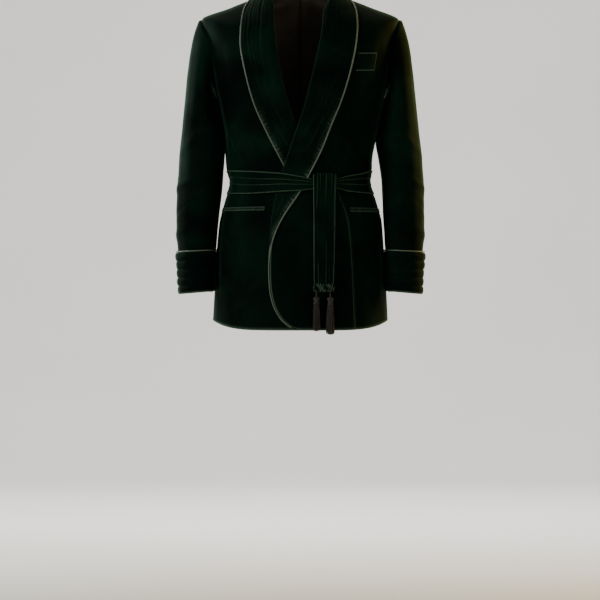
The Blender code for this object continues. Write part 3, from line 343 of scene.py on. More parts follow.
def level_at(angle, z):
    """Find the levels at which the body reaches heights at angles."""
    angle, z = np.broadcast_arrays(np.asarray(angle, float), np.asarray(z, float))
    low = np.zeros(z.shape)
    high = np.full(z.shape, SHOULDER_LEVEL)
    for _ in range(34):
        level = (low + high) / 2.0
        below = body_base(angle, level)[..., 2] < z
        low = np.where(below, level, low)
        high = np.where(below, high, level)
    return low


def side_line(level):
    """Give the angle of the line under the arm, from the side seam to the shoulder seam."""
    return mix(97.0, 92.0, ease(level, ARMPIT_LEVEL, SHOULDER_LEVEL))


ARMHOLE_MIDDLE = (ARMPIT_LEVEL + SHOULDER_LEVEL) / 2.0
ARMHOLE_REACH = (SHOULDER_LEVEL - ARMPIT_LEVEL) / 2.0


def armhole_half(level):
    """Give half the armhole's width in degrees."""
    u = (level - ARMHOLE_MIDDLE) / ARMHOLE_REACH
    return ARMHOLE_HALF_ANGLE * np.sqrt(np.maximum(0.0, 1.0 - u * u))


def angle_step(angle, level, distance):
    """Give the turn in degrees that covers a distance along the body's ring."""
    return distance / np.linalg.norm(body_base(angle + 0.5, level) - body_base(angle - 0.5, level), axis=-1)


def panel_levels(puckered=()):
    """List a panel's levels: even below the armpit, close round the armhole's ends, and over the shoulder."""
    low = np.union1d(np.linspace(0.0, ARMPIT_LEVEL, 150, endpoint=False), puckered)
    hole = ARMHOLE_MIDDLE - ARMHOLE_REACH * np.cos(np.pi * np.arange(41) / 40)
    return np.concatenate((low, hole, np.linspace(SHOULDER_LEVEL, NECK_LEVEL, 26)[1:]))


def inset_line(x, z, distance):
    """Move a line sideways; to the right of its way up when the distance is positive."""
    dx, dz = np.gradient(x), np.gradient(z)
    length = np.hypot(dx, dz)
    return x + distance * dz / length, z - distance * dx / length


def line_of(rows, column, count):
    """Read (x, z) points at even heights through a table."""
    z = np.linspace(rows["z"][0], rows["z"][-1], count)
    return follow(rows, column, z), z


def edge_by_level(lower, upper, inset, corner_angle):
    """Turn a front's edge, in a lower and an upper line, into levels and angles that end at the neck."""
    x = np.concatenate((lower[0], upper[0][1:]))
    z = np.concatenate((lower[1], upper[1][1:]))
    angle, level = place_on_front(*inset_line(x, z, inset))
    order = np.argsort(level)
    angle, level = angle[order], level[order]
    kept = level < NECK_LEVEL - 0.004
    return np.append(level[kept], NECK_LEVEL), np.append(angle[kept], corner_angle)


def ripple(points, size, seed, height):
    """Give an uneven rise at points, from a soft noise whose waves are as long as size."""
    flat = np.asarray(points).reshape(-1, 3) / size + seed * 7.31
    return height * np.array([noise.noise(Vector(point)) for point in flat]).reshape(np.shape(points)[:-1])


def with_close_borders(grid, wall, around):
    """Add lines close to a grid's open borders, and say how much of its wall the cloth has at each line."""
    shares = []
    for axis in (0, 1):
        if axis == 1 and around:
            shares.append(np.ones(grid.shape[1]))
            continue
        grid = np.moveaxis(grid, axis, 0)
        ends = []
        for first, second in ((grid[0], grid[1]), (grid[-1], grid[-2])):
            step = np.maximum(1e-9, np.linalg.norm((second - first)[..., :3], axis=-1, keepdims=True))
            ends.append([first + (second - first) * np.minimum(limit, reach * wall / step)
                         for reach, limit in ((0.15, 0.2), (0.5, 0.6))])
        grid = np.concatenate((grid[:1], ends[0], grid[1:-1], ends[1][::-1], grid[-1:]))
        share = np.ones(len(grid))
        share[[0, -1]] = 0.0
        share[[1, -2]] = 0.714
        shares.append(share)
        grid = np.moveaxis(grid, 0, axis)
    return grid, np.minimum(shares[0][:, None], shares[1][None, :])


def facing(grid, around):
    """Give the outward direction of a grid of points."""
    if around:
        wrapped = np.concatenate((grid[:, -1:], grid, grid[:, :1]), axis=1)
        across = np.gradient(wrapped, axis=1)[:, 1:-1]
    else:
        across = np.gradient(grid, axis=1)
    return unit(np.cross(across, np.gradient(grid, axis=0)))


def fold_bends(grid, around):
    """Give how sharply a grid bends at each point: above nought on a fold's crest, below in a trough."""
    normal = facing(grid, around)
    bend = np.zeros(grid.shape[:2])
    for axis in (0, 1):
        reach = [(2, 2) if i == axis else (0, 0) for i in range(3)]
        wide = np.pad(grid, reach, mode="wrap" if around and axis == 1 else "edge")
        before = wide.take(range(grid.shape[axis]), axis=axis)
        after = wide.take(range(4, grid.shape[axis] + 4), axis=axis)
        middle = grid - (before + after) / 2.0
        span = np.sum((after - before) ** 2, axis=-1)
        bend = bend + 8.0 * np.sum(normal * middle, axis=-1) / np.maximum(span, (1.5 * MM) ** 2)
    return bend


def edge_distance(grid, edge):
    """Give how far each point lies from one of a grid's edges, along the cloth."""
    axis = 0 if edge in ("hem", "foot", "top") else 1
    steps = np.linalg.norm(np.diff(grid, axis=axis), axis=-1)
    if edge in ("top", "last"):
        steps = np.flip(steps, axis)
    gone = np.cumsum(np.concatenate((np.zeros_like(np.take(steps, [0], axis)), steps), axis), axis)
    return np.flip(gone, axis) if edge in ("top", "last") else gone


def cloth(name, grid, wall, around=False, inside=1, bare=(), fold_sheen=0.7, painted_sheen=0.0):
    """Make a sheet of cloth from its outer face: rows run upwards and points towards the wearer's left.

    The sheet is a closed shell with rounded edges, and its UV map is the cloth's own width and length. Its
    crest attribute is 1 where the pile gets a painted sheen highlight: on sharp folds and bare edges (hem,
    foot, top, first, last). rub sets how strongly sharp folds get it, and rubbed gives its least value at each
    point.
    """
    wall = np.broadcast_to(wall, grid.shape[:2])
    widest = float(np.max(wall))
    # Painted sheen highlight: the crest mask lightens the pile on sharp fold crests, never below the given
    # least value.
    crest = np.maximum(fold_sheen * ease(fold_bends(grid, around), 70.0, 620.0), painted_sheen)
    grid, share = with_close_borders(np.concatenate((grid, wall[..., None], crest[..., None]), axis=-1),
                                     widest,
                                     around)
    wall, crest = grid[..., 3], grid[..., 4]
    grid = grid[..., :3]
    # Bare edges get the painted sheen highlight too, over a wider band along the hem.
    for edge in bare:
        reach = 2.4 if edge == "hem" else 1.0
        bare_share = 1.0 - ease(edge_distance(grid, edge), 0.8 * MM * reach, 2.6 * MM * reach)
        crest = np.maximum(crest, bare_share)
    normal = facing(grid, around)
    half = wall[..., None] / 2.0
    middle = grid - normal * half
    outer = middle + normal * half * share[..., None]
    inner = middle - normal * half * share[..., None]
    tall, wide = grid.shape[:2]
    index = np.arange(tall * wide).reshape(tall, wide)
    border = share == 0.0
    inner_index = np.where(border, index, index + tall * wide)
    right = np.arange(1, wide + 1) % wide if around else np.arange(1, wide)
    left = np.arange(wide) if around else np.arange(wide - 1)
    faces = []
    for source, turned in ((index, False), (inner_index, True)):
        quad = [source[:-1][:, left], source[:-1][:, right], source[1:][:, right], source[1:][:, left]]
        if turned:
            quad.reverse()
        faces.append(np.stack(quad, axis=-1).reshape(-1, 4))
    along = np.concatenate((np.zeros((1, wide)),
                            np.cumsum(np.linalg.norm(np.diff(grid, axis=0), axis=-1), axis=0)))
    beside = np.concatenate((np.zeros((tall, 1)),
                             np.cumsum(np.linalg.norm(np.diff(grid, axis=1), axis=-1), axis=1)), axis=1)
    place = np.stack((beside - beside[:, wide // 2:wide // 2 + 1], along - along[-1:]),
                     axis=-1).reshape(-1, 2)
    points = np.concatenate((outer.reshape(-1, 3), inner.reshape(-1, 3)))
    used = np.concatenate((np.ones(tall * wide, bool), ~border.reshape(-1)))
    renumber = np.cumsum(used) - 1
    faces = np.concatenate(faces)
    mesh = bpy.data.meshes.new(name)
    mesh.from_pydata(points[used].tolist(), [], renumber[faces].tolist())
    uv = mesh.uv_layers.new(name="cloth")
    uv.data.foreach_set("uv", place[(faces % (tall * wide)).reshape(-1)].reshape(-1))
    sides = np.zeros(len(faces), int)
    sides[len(faces) // 2:] = inside
    mesh.polygons.foreach_set("material_index", sides)
    painted_sheen = mesh.attributes.new("crest", "FLOAT", "POINT")
    both_faces = np.concatenate((crest.reshape(-1), crest.reshape(-1) * border.reshape(-1)))
    painted_sheen.data.foreach_set("value", both_faces[used])
    mesh.shade_smooth()
    mesh.validate()
    piece = bpy.data.objects.new(name, mesh)
    bpy.context.scene.collection.objects.link(piece)
    return piece


def round_cord(name, points, radius, cyclic=False, twist=0.0, sides=10, tapers=(0.0, 0.0)):
    """Lay a closed round cord through points, its UV map its turn and its length; its ends may taper."""
    points = np.asarray(points)
    if cyclic:
        ahead = np.roll(points, -1, axis=0) - np.roll(points, 1, axis=0)
    else:
        ahead = np.gradient(points, axis=0)
    ahead = unit(ahead)
    beside = unit(np.cross(ahead, np.array([0.12, -1.0, 0.23])))
    above = np.cross(beside, ahead)
    step = np.linalg.norm(np.diff(points, axis=0, append=points[:1]), axis=-1)
    length = np.concatenate(([0.0], np.cumsum(step)))[:-1]
    turn = np.arange(sides) * 2.0 * np.pi / sides
    width = radius * (1.0 + 0.05 * np.sin(twist * length[:, None] + 2.0 * turn[None, :]))
    if not cyclic:
        width = width * np.clip(np.minimum(length, length[-1] - length) / radius + 0.35, 0.0, 1.0)[:, None]
        for taper, reach in zip(tapers, (length, length[-1] - length)):
            if taper > 0.0:
                width = width * mix(0.25, 1.0, ease(reach, 0.0, taper))[:, None]
    rings = points[:, None] + width[..., None] * (np.cos(turn)[None, :, None] * beside[:, None]
                                                 + np.sin(turn)[None, :, None] * above[:, None])
    count = len(points)
    index = np.arange(count * sides).reshape(count, sides)
    rows = np.arange(count) if cyclic else np.arange(count - 1)
    over = (rows + 1) % count
    beyond = np.roll(index, -1, axis=1)
    rims = (index[rows], index[over], beyond[over], beyond[rows])
    faces = np.stack(rims, axis=-1).reshape(-1, 4).tolist()
    place = [(j / sides, length[i]) for i in rows for j in range(sides)]
    corners = []
    for n, (u, v) in enumerate(place):
        reach = step[rows[n // sides]]
        corners += [(u, v), (u, v + reach), (u + 1.0 / sides, v + reach), (u + 1.0 / sides, v)]
    if not cyclic:
        faces += [index[0].tolist(), index[-1].tolist()[::-1]]
        corners += [(0.0, 0.0)] * (2 * sides)
    mesh = bpy.data.meshes.new(name)
    mesh.from_pydata(rings.reshape(-1, 3).tolist(), [], faces)
    uv = mesh.uv_layers.new(name="cloth")
    uv.data.foreach_set("uv", np.array(corners).reshape(-1))
    mesh.shade_smooth()
    piece = bpy.data.objects.new(name, mesh)
    bpy.context.scene.collection.objects.link(piece)
    return piece


def panel_detail(points, seed):
    """Give the small unevenness of a tailored panel: broad soft waves and a faint ripple."""
    return ripple(points, 0.110, seed, 1.4 * MM) + ripple(points, 0.034, seed + 3, 0.45 * MM)


def hem_swell(level):
    """Give how much thicker the turned-up hem is along its lower edge."""
    ridge = 0.7 * MM * np.exp(-((level - 0.004) / 0.0035) ** 2)
    return ridge + 0.35 * MM * (1.0 - ease(level, 0.030, 0.050))


def make_front_left():
    """Make the over front, on the wearer's left, with columns along the edge that shows through."""
    lower, upper = line_of(OVER_EDGE, "x", 60), line_of(LEFT_LAPEL, "roll", 90)
    edge = edge_by_level(lower, upper, EDGE_INSET, NECK_CORNER_ANGLE)
    level = panel_levels(np.linspace(0.070, 0.185, 40))
    inner = np.interp(level, *edge)
    outer = side_line(level) - armhole_half(level)
    outer = outer + angle_step(outer, level, LAP)
    span = outer - inner
    z = body_base(inner + 0.5 * span, level)[..., 2]
    start = follow(LIFT, "fade_start", z)
    first, _ = place_on_front(start - 0.0070, z)
    second, _ = place_on_front(start + follow(LIFT, "fade_width", z), z)
    first = np.clip(first, inner + 0.20 * span, inner + 0.66 * span)
    second = np.clip(second, first + 0.012 * span, inner + 0.74 * span)
    angle = np.concatenate((mix(inner[:, None], first[:, None], np.linspace(0.0, 1.0, 50)[None, :-1]),
                            mix(first[:, None], second[:, None], np.linspace(0.0, 1.0, 17)[None, :-1]),
                            mix(second[:, None], outer[:, None], np.linspace(0.0, 1.0, 48)[None])), axis=1)
    level = np.broadcast_to(level[:, None], angle.shape)
    base = over_point(angle, level)
    out = panel_detail(base, 1) + hem_swell(level)
    edge_x = follow(LIFT, "fade_start", base[..., 2]) - 0.0016
    bead = np.exp(-((base[..., 0] - edge_x) / 0.0024) ** 2) * (1.0 - ease(base[..., 2], -0.500, -0.470))
    return cloth("front_left_velvet", over_point(angle, level, out + 1.9 * MM * bead), WALL,
                 bare=("hem", "first"))


def make_front_right():
    """Make the under front, on the wearer's right."""
    lower, upper = line_of(UNDER_EDGE, "x", 50), line_of(RIGHT_LAPEL, "roll", 80)
    edge = edge_by_level(lower, upper, -EDGE_INSET, -NECK_CORNER_ANGLE)
    level = panel_levels()
    inner = np.interp(level, *edge)
    outer = armhole_half(level) - side_line(level)
    outer = outer - angle_step(outer, level, LAP)
    angle = mix(outer[:, None], inner[:, None], np.linspace(0.0, 1.0, 84)[None])
    level = np.broadcast_to(level[:, None], angle.shape)
    under = ease(body_base(angle, level)[..., 0], -0.075, -0.090)
    out = (panel_detail(body_base(angle, level), 2) + hem_swell(level)) * under
    return cloth("front_right_velvet", body_point(angle, level, out), WALL, bare=("hem", "last"))


def make_back(name, side):
    """Make one half of the back, from the side seam to the centre seam."""
    level = panel_levels()
    outer = side_line(level) + armhole_half(level)
    outer = outer - angle_step(outer, level, LAP)
    centre = 180.0 + angle_step(179.0, level, LAP)
    angle = mix(outer[:, None], centre[:, None], np.linspace(0.0, 1.0, 58)[None])
    if side < 0:
        angle = -angle[:, ::-1]
    level = np.broadcast_to(level[:, None], angle.shape)
    out = panel_detail(body_base(angle, level), 4) + hem_swell(level)
    return cloth(name, body_point(angle, level, out), WALL, bare=("hem",))


ROLL = table("z radius", (-0.50, 2.2 * MM), (-0.44, 1.8 * MM), (-0.30, 1.6 * MM), (-0.20, 2.4 * MM),
             (0.03, 3.2 * MM))
LEAF_HEIGHT = 2.6 * MM
CORD_HEIGHT = 3.2 * MM
SHOULDER_EASE = 2.8 * MM
FALL_BRIDGE = 4.0 * MM

# Creases of each leaf: the heights of their ends, their shares of the way from roll to edge there,
# half their width and their height
RIGHT_LEAF_CREASES = table(
    "z0 u0 z1 u1 half_width height",
    (0.060, 0.86, -0.160, 0.85, 0.0018, 0.8 * MM), (0.055, 0.77, -0.235, 0.70, 0.0021, 1.1 * MM),
    (0.060, 0.68, -0.180, 0.64, 0.0017, 0.8 * MM), (0.050, 0.60, -0.250, 0.56, 0.0021, 1.1 * MM),
    (0.055, 0.50, -0.140, 0.48, 0.0017, 0.7 * MM), (0.045, 0.41, -0.245, 0.35, 0.0020, 1.0 * MM),
    (0.040, 0.30, -0.120, 0.28, 0.0016, 0.6 * MM), (-0.190, 0.62, -0.300, 0.60, 0.0017, 0.7 * MM),
    (-0.215, 0.48, -0.345, 0.24, 0.0020, 1.0 * MM), (-0.300, 0.62, -0.392, 0.36, 0.0019, 0.9 * MM),
    (-0.240, 0.74, -0.330, 0.68, 0.0016, 0.6 * MM), (-0.320, 0.30, -0.398, 0.12, 0.0018, 0.8 * MM),
    (0.030, 0.64, -0.150, 0.60, 0.0030, -0.6 * MM), (0.030, 0.45, -0.160, 0.42, 0.0030, -0.6 * MM),
)
LEFT_LEAF_CREASES = table(
    "z0 u0 z1 u1 half_width height",
    (0.050, 0.80, -0.100, 0.78, 0.0018, 0.6 * MM), (0.050, 0.62, -0.130, 0.60, 0.0019, 0.6 * MM),
    (0.040, 0.44, -0.110, 0.42, 0.0017, 0.5 * MM), (-0.190, 0.60, -0.300, 0.48, 0.0019, 0.8 * MM),
    (-0.220, 0.42, -0.330, 0.30, 0.0018, 0.9 * MM), (-0.240, 0.74, -0.320, 0.64, 0.0017, 0.7 * MM),
    (-0.270, 0.34, -0.390, 0.20, 0.0018, 0.9 * MM), (-0.290, 0.62, -0.385, 0.50, 0.0019, 0.9 * MM),
    (-0.320, 0.80, -0.400, 0.72, 0.0018, 0.8 * MM), (-0.340, 0.46, -0.412, 0.38, 0.0017, 0.7 * MM),
    (-0.478, 0.48, -0.596, 0.26, 0.0018, 0.7 * MM),
)


def leaf_stations(rows, end, count, neck_count):
    """List the collar's cross sections from its lower end to the centre back: roll, seam and edge places."""
    side = 1.0 if rows["roll"][-1] > 0 else -1.0
    z = np.linspace(end, rows["z"][-1], count)
    roll_x, edge_x = follow(rows, "roll", z), follow(rows, "edge", z)
    seam_x = roll_x + side * (EDGE_INSET - 0.9 * MM)
    places = [np.array(place_on_front(x, z)) for x in (roll_x, seam_x, edge_x)]
    last = [value for place in places for value in (side * place[0, -1], place[1, -1])]
    neck = {name: np.append(start, values) for (name, values), start in zip(NECK.items(), [0.0] + last)}
    at = np.linspace(0.0, NECK["at"][-1], neck_count + 1)[1:]
    return [np.concatenate((place, np.array([side * follow(neck, name + "_angle", at),
                                             follow(neck, name + "_level", at)])), axis=1)
            for name, place in zip(("roll", "seam", "edge"), places)]


def between(first, second, u):
    """Give places between two rows of places on the body; u adds a direction of its own."""
    return [mix(a[:, None], b[:, None], u) for a, b in zip(first, second)]


def from_edge(roll, edge, distance, surface):
    """Give the shares of the way from the roll line that lie a distance short of the edge."""
    near = surface(*[mix(a, b, 0.96) for a, b in zip(roll, edge)])
    speed = np.linalg.norm(surface(*edge) - near, axis=-1) / 0.04
    return 1.0 - distance / speed


def shoulder_ease(z):
    """Give how much further the collar stands off where the shoulders curve under it."""
    return SHOULDER_EASE * ease(z, -0.20, -0.10)


def make_collar(name, rows, end, count, neck_count, surface, creases):
    """Make one leaf of the shawl collar: its stand, the roll, and the fall with its long soft creases."""
    roll, seam, edge = leaf_stations(rows, end, count, neck_count)
    start = surface(*roll)
    normal = unit(calm(body_normal(*roll), 20))
    toward = unit(calm(unit(surface(*[mix(a, b, 0.04) for a, b in zip(roll, edge)]) - start), 20))
    radius = follow(ROLL, "radius", start[:, 2])[:, None]
    low = -WALL / 2.0
    centre = start + toward * radius + normal * (low + radius)
    stand = np.linspace(0.0, 1.0, 7)[None, :-1]
    places = between(seam, roll, stand)
    standing = surface(*places) + unit(calm(body_normal(*places), 20)) * low
    seam_point = standing[:, :1]
    arc = np.radians(np.linspace(-90.0, 90.0, 10))[None, :, None]
    turned = centre[:, None] - (toward * radius)[:, None] * np.cos(arc)
    turned = turned + (normal * radius)[:, None] * np.sin(arc)
    straight = mix(seam_point, turned[:, :1], stand[..., None])
    stands = (seam[1] > 1.001)[:, None, None]
    last = from_edge(roll, edge, 2.0 * CORD_RADIUS + 0.4 * MM, surface)[:, None]
    leaf_width = np.linalg.norm(surface(*edge) - start, axis=-1)
    first = np.minimum(0.5 * last, (2.0 * radius[:, 0] / leaf_width)[:, None])
    u = mix(first, last, np.linspace(0.0, 1.0, 71)[None, 1:])
    z = start[:, 2][:, None]
    width = np.linalg.norm(surface(*edge) - start, axis=-1)[:, None]
    height = mix(low + 2.0 * radius, LEAF_HEIGHT, ease(u, 0.0, 0.8)) + shoulder_ease(z)
    height = height + FALL_BRIDGE * np.sin(np.pi * u) * ease(z, -0.10, 0.02)
    height = height + 1.3 * MM * np.sin(np.pi * np.clip(u, 0.0, 1.0)) ** 0.7 + LEAF_WALL / 2.0
    places = between(roll, edge, u)
    away = unit(calm(body_normal(*places), 24))
    form = calm(surface(*places) + away * height[..., None], 18)
    height = np.zeros(u.shape)
    run = np.concatenate(([0.0], np.cumsum(np.linalg.norm(np.diff(start, axis=0), axis=-1))))[:, None]
    reach = np.where(np.arange(len(run)) < count, start[:, 2], 0.0)[:, None]
    reach = np.where(np.arange(len(run))[:, None] < count, reach,
                     run - run[count - 1] + start[count - 1, 2])
    for i in range(len(creases["z0"])):
        c = {key: values[i] for key, values in creases.items()}
        along = (c["z0"] - reach) / (c["z0"] - c["z1"])
        beside = (u - mix(c["u0"], c["u1"], np.clip(along, 0.0, 1.0))) * width
        wander = 0.0016 * np.sin(23.0 * c["u0"] + 17.0 * reach)
        fade = ease(along, -0.08, 0.22) * (1.0 - ease(along, 0.72, 1.08))
        height = height + c["height"] * fade * np.exp(-((beside + wander) / c["half_width"]) ** 2)
    to_cord = (last - u) * width
    gathered = ease(-reach, 0.22, 0.32) * (0.7 + 0.3 * np.sin(reach * 97.0))
    pucker = gathered * np.exp(-(to_cord / 0.0085) ** 2)
    wave = np.sin(reach * 850.0 + 22.0 * u + 1.5 * np.sin(reach * 210.0))
    height = height + 0.60 * MM * pucker * wave
    fall = form + away * (height + ripple(form, 0.07, 6, 0.5 * MM))[..., None]
    turned = turned + (turned - centre[:, None]) / np.maximum(1e-6, radius)[:, None] * (LEAF_WALL / 2.0)
    under = np.where(stands, standing, straight) - normal[:, None] * LEAF_WALL / 2.0
    grid = np.concatenate((under[:, :5], turned, fall), axis=1)
    # Painted sheen highlight on the puckered ridges beside the cord.
    painted_sheen = np.zeros(grid.shape[:2])
    painted_sheen[:, -u.shape[1]:] = pucker * (0.25 + 0.75 * np.clip(wave, 0.0, 1.0))
    if rows["roll"][-1] < 0:
        grid, painted_sheen = grid[:, ::-1], painted_sheen[:, ::-1]
    return cloth(name, grid, LEAF_WALL, inside=0, fold_sheen=0.5, painted_sheen=painted_sheen)


def make_collar_cord(name, rows, end, count, neck_count, surface, taper):
    """Lay the corded piping along one leaf's outer edge."""
    roll, _, edge = leaf_stations(rows, end, count, neck_count)
    share = from_edge(roll, edge, CORD_RADIUS, surface)
    places = [mix(a, b, share) for a, b in zip(roll, edge)]
    line = surface(*places)
    line = line + unit(calm(body_normal(*places), 20)) * (CORD_HEIGHT + shoulder_ease(line[:, 2]))[:, None]
    line = calm(line, 18)
    return round_cord(name, line, CORD_RADIUS, twist=900.0, tapers=(taper, 0.0))


def make_front_cord():
    """Lay the corded piping on the over front's edge, from the collar's end round the corner to the hem."""
    x, z = line_of(OVER_EDGE, "x", 150)
    more = np.linspace(-0.6185, -0.5850, 30)
    x = np.concatenate((x, follow(LEFT_LAPEL, "roll", more)))
    z = np.concatenate((z, more))
    places = place_on_front(*inset_line(x, z, CORD_RADIUS))
    return round_cord("front_cord_satin", over_point(*places, out=-WALL / 2.0)[4:], 1.6 * MM, twist=900.0,
                      tapers=(0.0, 0.03))


SLEEVE = table(
    "z outer inner middle half_depth",
    (-0.7075, 0.2810, 0.2055, -0.0370, 0.0500), (-0.6600, 0.2845, 0.2020, -0.0320, 0.0520),
    (-0.6155, 0.2880, 0.1990, -0.0265, 0.0540), (-0.5750, 0.2910, 0.1962, -0.0210, 0.0570),
    (-0.5300, 0.2920, 0.1940, -0.0145, 0.0600), (-0.4850, 0.2912, 0.1928, -0.0085, 0.0630),
    (-0.4400, 0.2890, 0.1900, -0.0035, 0.0660), (-0.3900, 0.2860, 0.1830, 0.0010, 0.0690),
    (-0.3500, 0.2825, 0.1770, 0.0030, 0.0720), (-0.3000, 0.2775, 0.1860, 0.0040, 0.0760),
    (-0.2650, 0.2735, 0.1930, 0.0040, 0.0780),
)
SLEEVE_POWER = 0.92
SLEEVE_WALL = 2.0 * MM
CLOSER_ARM = 8.0 * MM
SLEEVE_TOP = -0.2650
SLEEVE_END = -0.7070
FRONT_SLEEVE_SEAM = 118.0
BACK_SLEEVE_SEAM = 250.0

# Creases of the sleeves: the arm (1 left, -1 right, 0 both), angle round the sleeve, height, half widths,
# slant and how far they stand out
SLEEVE_CREASES = table(
    "arm angle z half_angle half_height slant height",
    (0, 40.0, -0.455, 60.0, 0.010, 0.00030, 3.0 * MM), (0, 95.0, -0.500, 50.0, 0.010, -0.00035, 3.5 * MM),
    (0, 70.0, -0.350, 45.0, 0.014, 0.00060, 3.0 * MM), (0, 300.0, -0.420, 55.0, 0.012, -0.00040, 3.0 * MM),
    (0, 265.0, -0.490, 50.0, 0.012, 0.00040, 3.5 * MM), (0, 20.0, -0.570, 60.0, 0.012, 0.00025, 2.5 * MM),
    (1, 110.0, -0.462, 34.0, 0.0045, 0.00050, 1.6 * MM),
    (1, 120.0, -0.438, 30.0, 0.0040, 0.00060, -1.4 * MM),
    (1, 100.0, -0.415, 28.0, 0.0045, 0.00070, 1.4 * MM),
    (1, 85.0, -0.530, 30.0, 0.0050, -0.00050, 1.3 * MM),
    (1, 30.0, -0.505, 34.0, 0.0060, 0.00050, -1.3 * MM),
    (1, 130.0, -0.520, 26.0, 0.0040, -0.00060, -1.2 * MM),
    (-1, 104.0, -0.470, 30.0, 0.0045, 0.00060, 1.5 * MM),
    (-1, 124.0, -0.448, 30.0, 0.0045, 0.00050, -1.3 * MM),
    (-1, 112.0, -0.424, 26.0, 0.0040, 0.00080, 1.3 * MM),
    (-1, 78.0, -0.545, 34.0, 0.0055, -0.00040, 1.3 * MM),
    (-1, 36.0, -0.515, 30.0, 0.0060, 0.00050, -1.2 * MM),
    (0, 250.0, -0.455, 36.0, 0.0050, 0.00060, 1.8 * MM),
    (0, 235.0, -0.475, 34.0, 0.0045, 0.00050, -1.5 * MM),
    (0, 262.0, -0.440, 30.0, 0.0040, 0.00070, -1.3 * MM),
    (1, 280.0, -0.380, 40.0, 0.0070, -0.00060, 1.6 * MM),
    (-1, 285.0, -0.392, 36.0, 0.0070, -0.00050, 1.6 * MM),
    (0, 105.0, -0.300, 22.0, 0.0100, 0.00110, 1.6 * MM),
    (0, 128.0, -0.285, 20.0, 0.0070, 0.00100, -1.3 * MM),
    (0, 60.0, -0.620, 40.0, 0.0060, 0.00030, 1.0 * MM), (1, 95.0, -0.590, 30.0, 0.0060, 0.00050, 1.1 * MM),
    (-1, 90.0, -0.600, 34.0, 0.0060, 0.00040, 1.1 * MM),
)


def wrap(angle):
    """Bring angles to between -180 and 180 degrees."""
    return (angle + 180.0) % 360.0 - 180.0


def sleeve_crease(side, angle, z):
    """Add up the sleeve's creases."""
    total = np.zeros(np.broadcast(angle, z).shape)
    for i in range(len(SLEEVE_CREASES["z"])):
        c = {name: values[i] for name, values in SLEEVE_CREASES.items()}
        if c["arm"] * side < 0:
            continue
        turn = wrap(angle - c["angle"])
        away = z - c["z"] - c["slant"] * turn
        total = total + c["height"] * np.exp(-(turn / c["half_angle"]) ** 2 - (away / c["half_height"]) ** 2)
    return total


def sleeve_point(side, angle, z, out=0.0):
    """Give points of the sleeve: angle 0 is its outer side, 90 its front, 180 the side against the body."""
    angle, z = np.broadcast_arrays(angle, z)
    turn = np.radians(angle)
    outer, inner = follow(SLEEVE, "outer", z), follow(SLEEVE, "inner", z)
    inner = inner - CLOSER_ARM * (side < 0) * np.exp(-((z + 0.45) / 0.08) ** 2)
    squared = wrap(angle) ** 2
    away = out + sleeve_crease(side, angle, z) * ease(squared, 170.0 ** 2, 120.0 ** 2) * \
        np.where(squared > 120.0 ** 2, 0.5 - 0.5 * np.cos(turn), 1.0)
    x = (outer + inner) / 2.0 + ((outer - inner) / 2.0 + away) * power_of(np.cos(turn), SLEEVE_POWER)
    half_depth = follow(SLEEVE, "half_depth", z) + away
    y = follow(SLEEVE, "middle", z) - half_depth * power_of(np.sin(turn), SLEEVE_POWER)
    return joined(side * x, y, z)


def armhole_point(angle, reach=1.0, out=0.0):
    """Give the left armhole's edge by the sleeve's own angle; a reach over 1 lies beyond it, on the body."""
    turn = np.radians(angle)
    level = ARMHOLE_MIDDLE + reach * ARMHOLE_REACH * np.cos(turn)
    around = side_line(level) - reach * ARMHOLE_HALF_ANGLE * np.sin(turn)
    return body_base(around, level) + body_normal(around, level) * out


def sleeve_grid(side, angles):
    """List the sleeve's rows from the cuff end up to the armhole, for a run of angles."""
    z = np.linspace(SLEEVE_END, -0.300, 90)[:, None]
    tube = sleeve_point(side, angles[None, :], z)
    u = np.linspace(1.0, 0.0, 42)[:, None, None]
    top = (0.5 + 0.5 * np.cos(np.radians(angles)))[:, None]
    flat = np.zeros_like(top)
    start = armhole_point(angles)
    end = sleeve_point(1.0, angles, np.full(angles.shape, SLEEVE_TOP))
    leave = np.concatenate((mix(0.030, 0.075, top), flat, mix(0.000, -0.012, top)), axis=1)
    arrive = np.concatenate((mix(-0.004, 0.016, top), flat, -mix(0.040, 0.160, top)), axis=1)
    head = start * (2 * u ** 3 - 3 * u ** 2 + 1) + leave * (u ** 3 - 2 * u ** 2 + u)
    head = head + end * (3 * u ** 2 - 2 * u ** 3) + arrive * (u ** 3 - u ** 2)
    turned_in = np.stack([armhole_point(angles, 1.03, -1.6 * MM), armhole_point(angles, 1.07, -3.0 * MM)])
    head = np.concatenate((head, turned_in))
    head[..., 0] *= side
    grid = np.concatenate((tube, head))
    middle = joined(side * 0.237, 0.0, grid[..., 2])
    away = unit(grid - middle)
    share = np.concatenate((np.ones(len(tube)) * 2.0, u[:, 0, 0], (0.0, 0.0)))[:, None]
    roped = 2.6 * MM * np.exp(-((share - 0.085) / 0.060) ** 2) * top[:, 0][None]
    crown = roped[..., None] * joined(side * 0.35, 0.0, 0.94)
    uneven = ripple(grid, 0.085, 9 + side, 1.3 * MM) + ripple(grid, 0.030, 12 + side, 0.4 * MM)
    uneven = uneven * ease(share, 0.0, 0.15)
    return grid + crown + away * uneven[..., None]


def make_sleeve(side, hand):
    """Make the top and the under sleeve of one arm."""
    lap = math.degrees(LAP / 0.06)
    pieces = []
    for name, first, last, count in (("sleeve_top_", BACK_SLEEVE_SEAM - 360.0, FRONT_SLEEVE_SEAM, 96),
                                     ("sleeve_under_", FRONT_SLEEVE_SEAM, BACK_SLEEVE_SEAM, 56)):
        angles = np.linspace(first - lap, last + lap, count)
        if side > 0:
            angles = angles[::-1]
        pieces.append(cloth(name + hand + "_velvet", sleeve_grid(side, angles), SLEEVE_WALL))
    return pieces


CUFF_TOP = -0.6130
CUFF_BOTTOM = -0.7095
CUFF_GAP = 1.5 * MM
CUFF_WALL = 2.4 * MM
CUFF_CHANNELS = 5
CHANNEL_HEIGHT = 2.6 * MM
CUFF_SIDES = 150


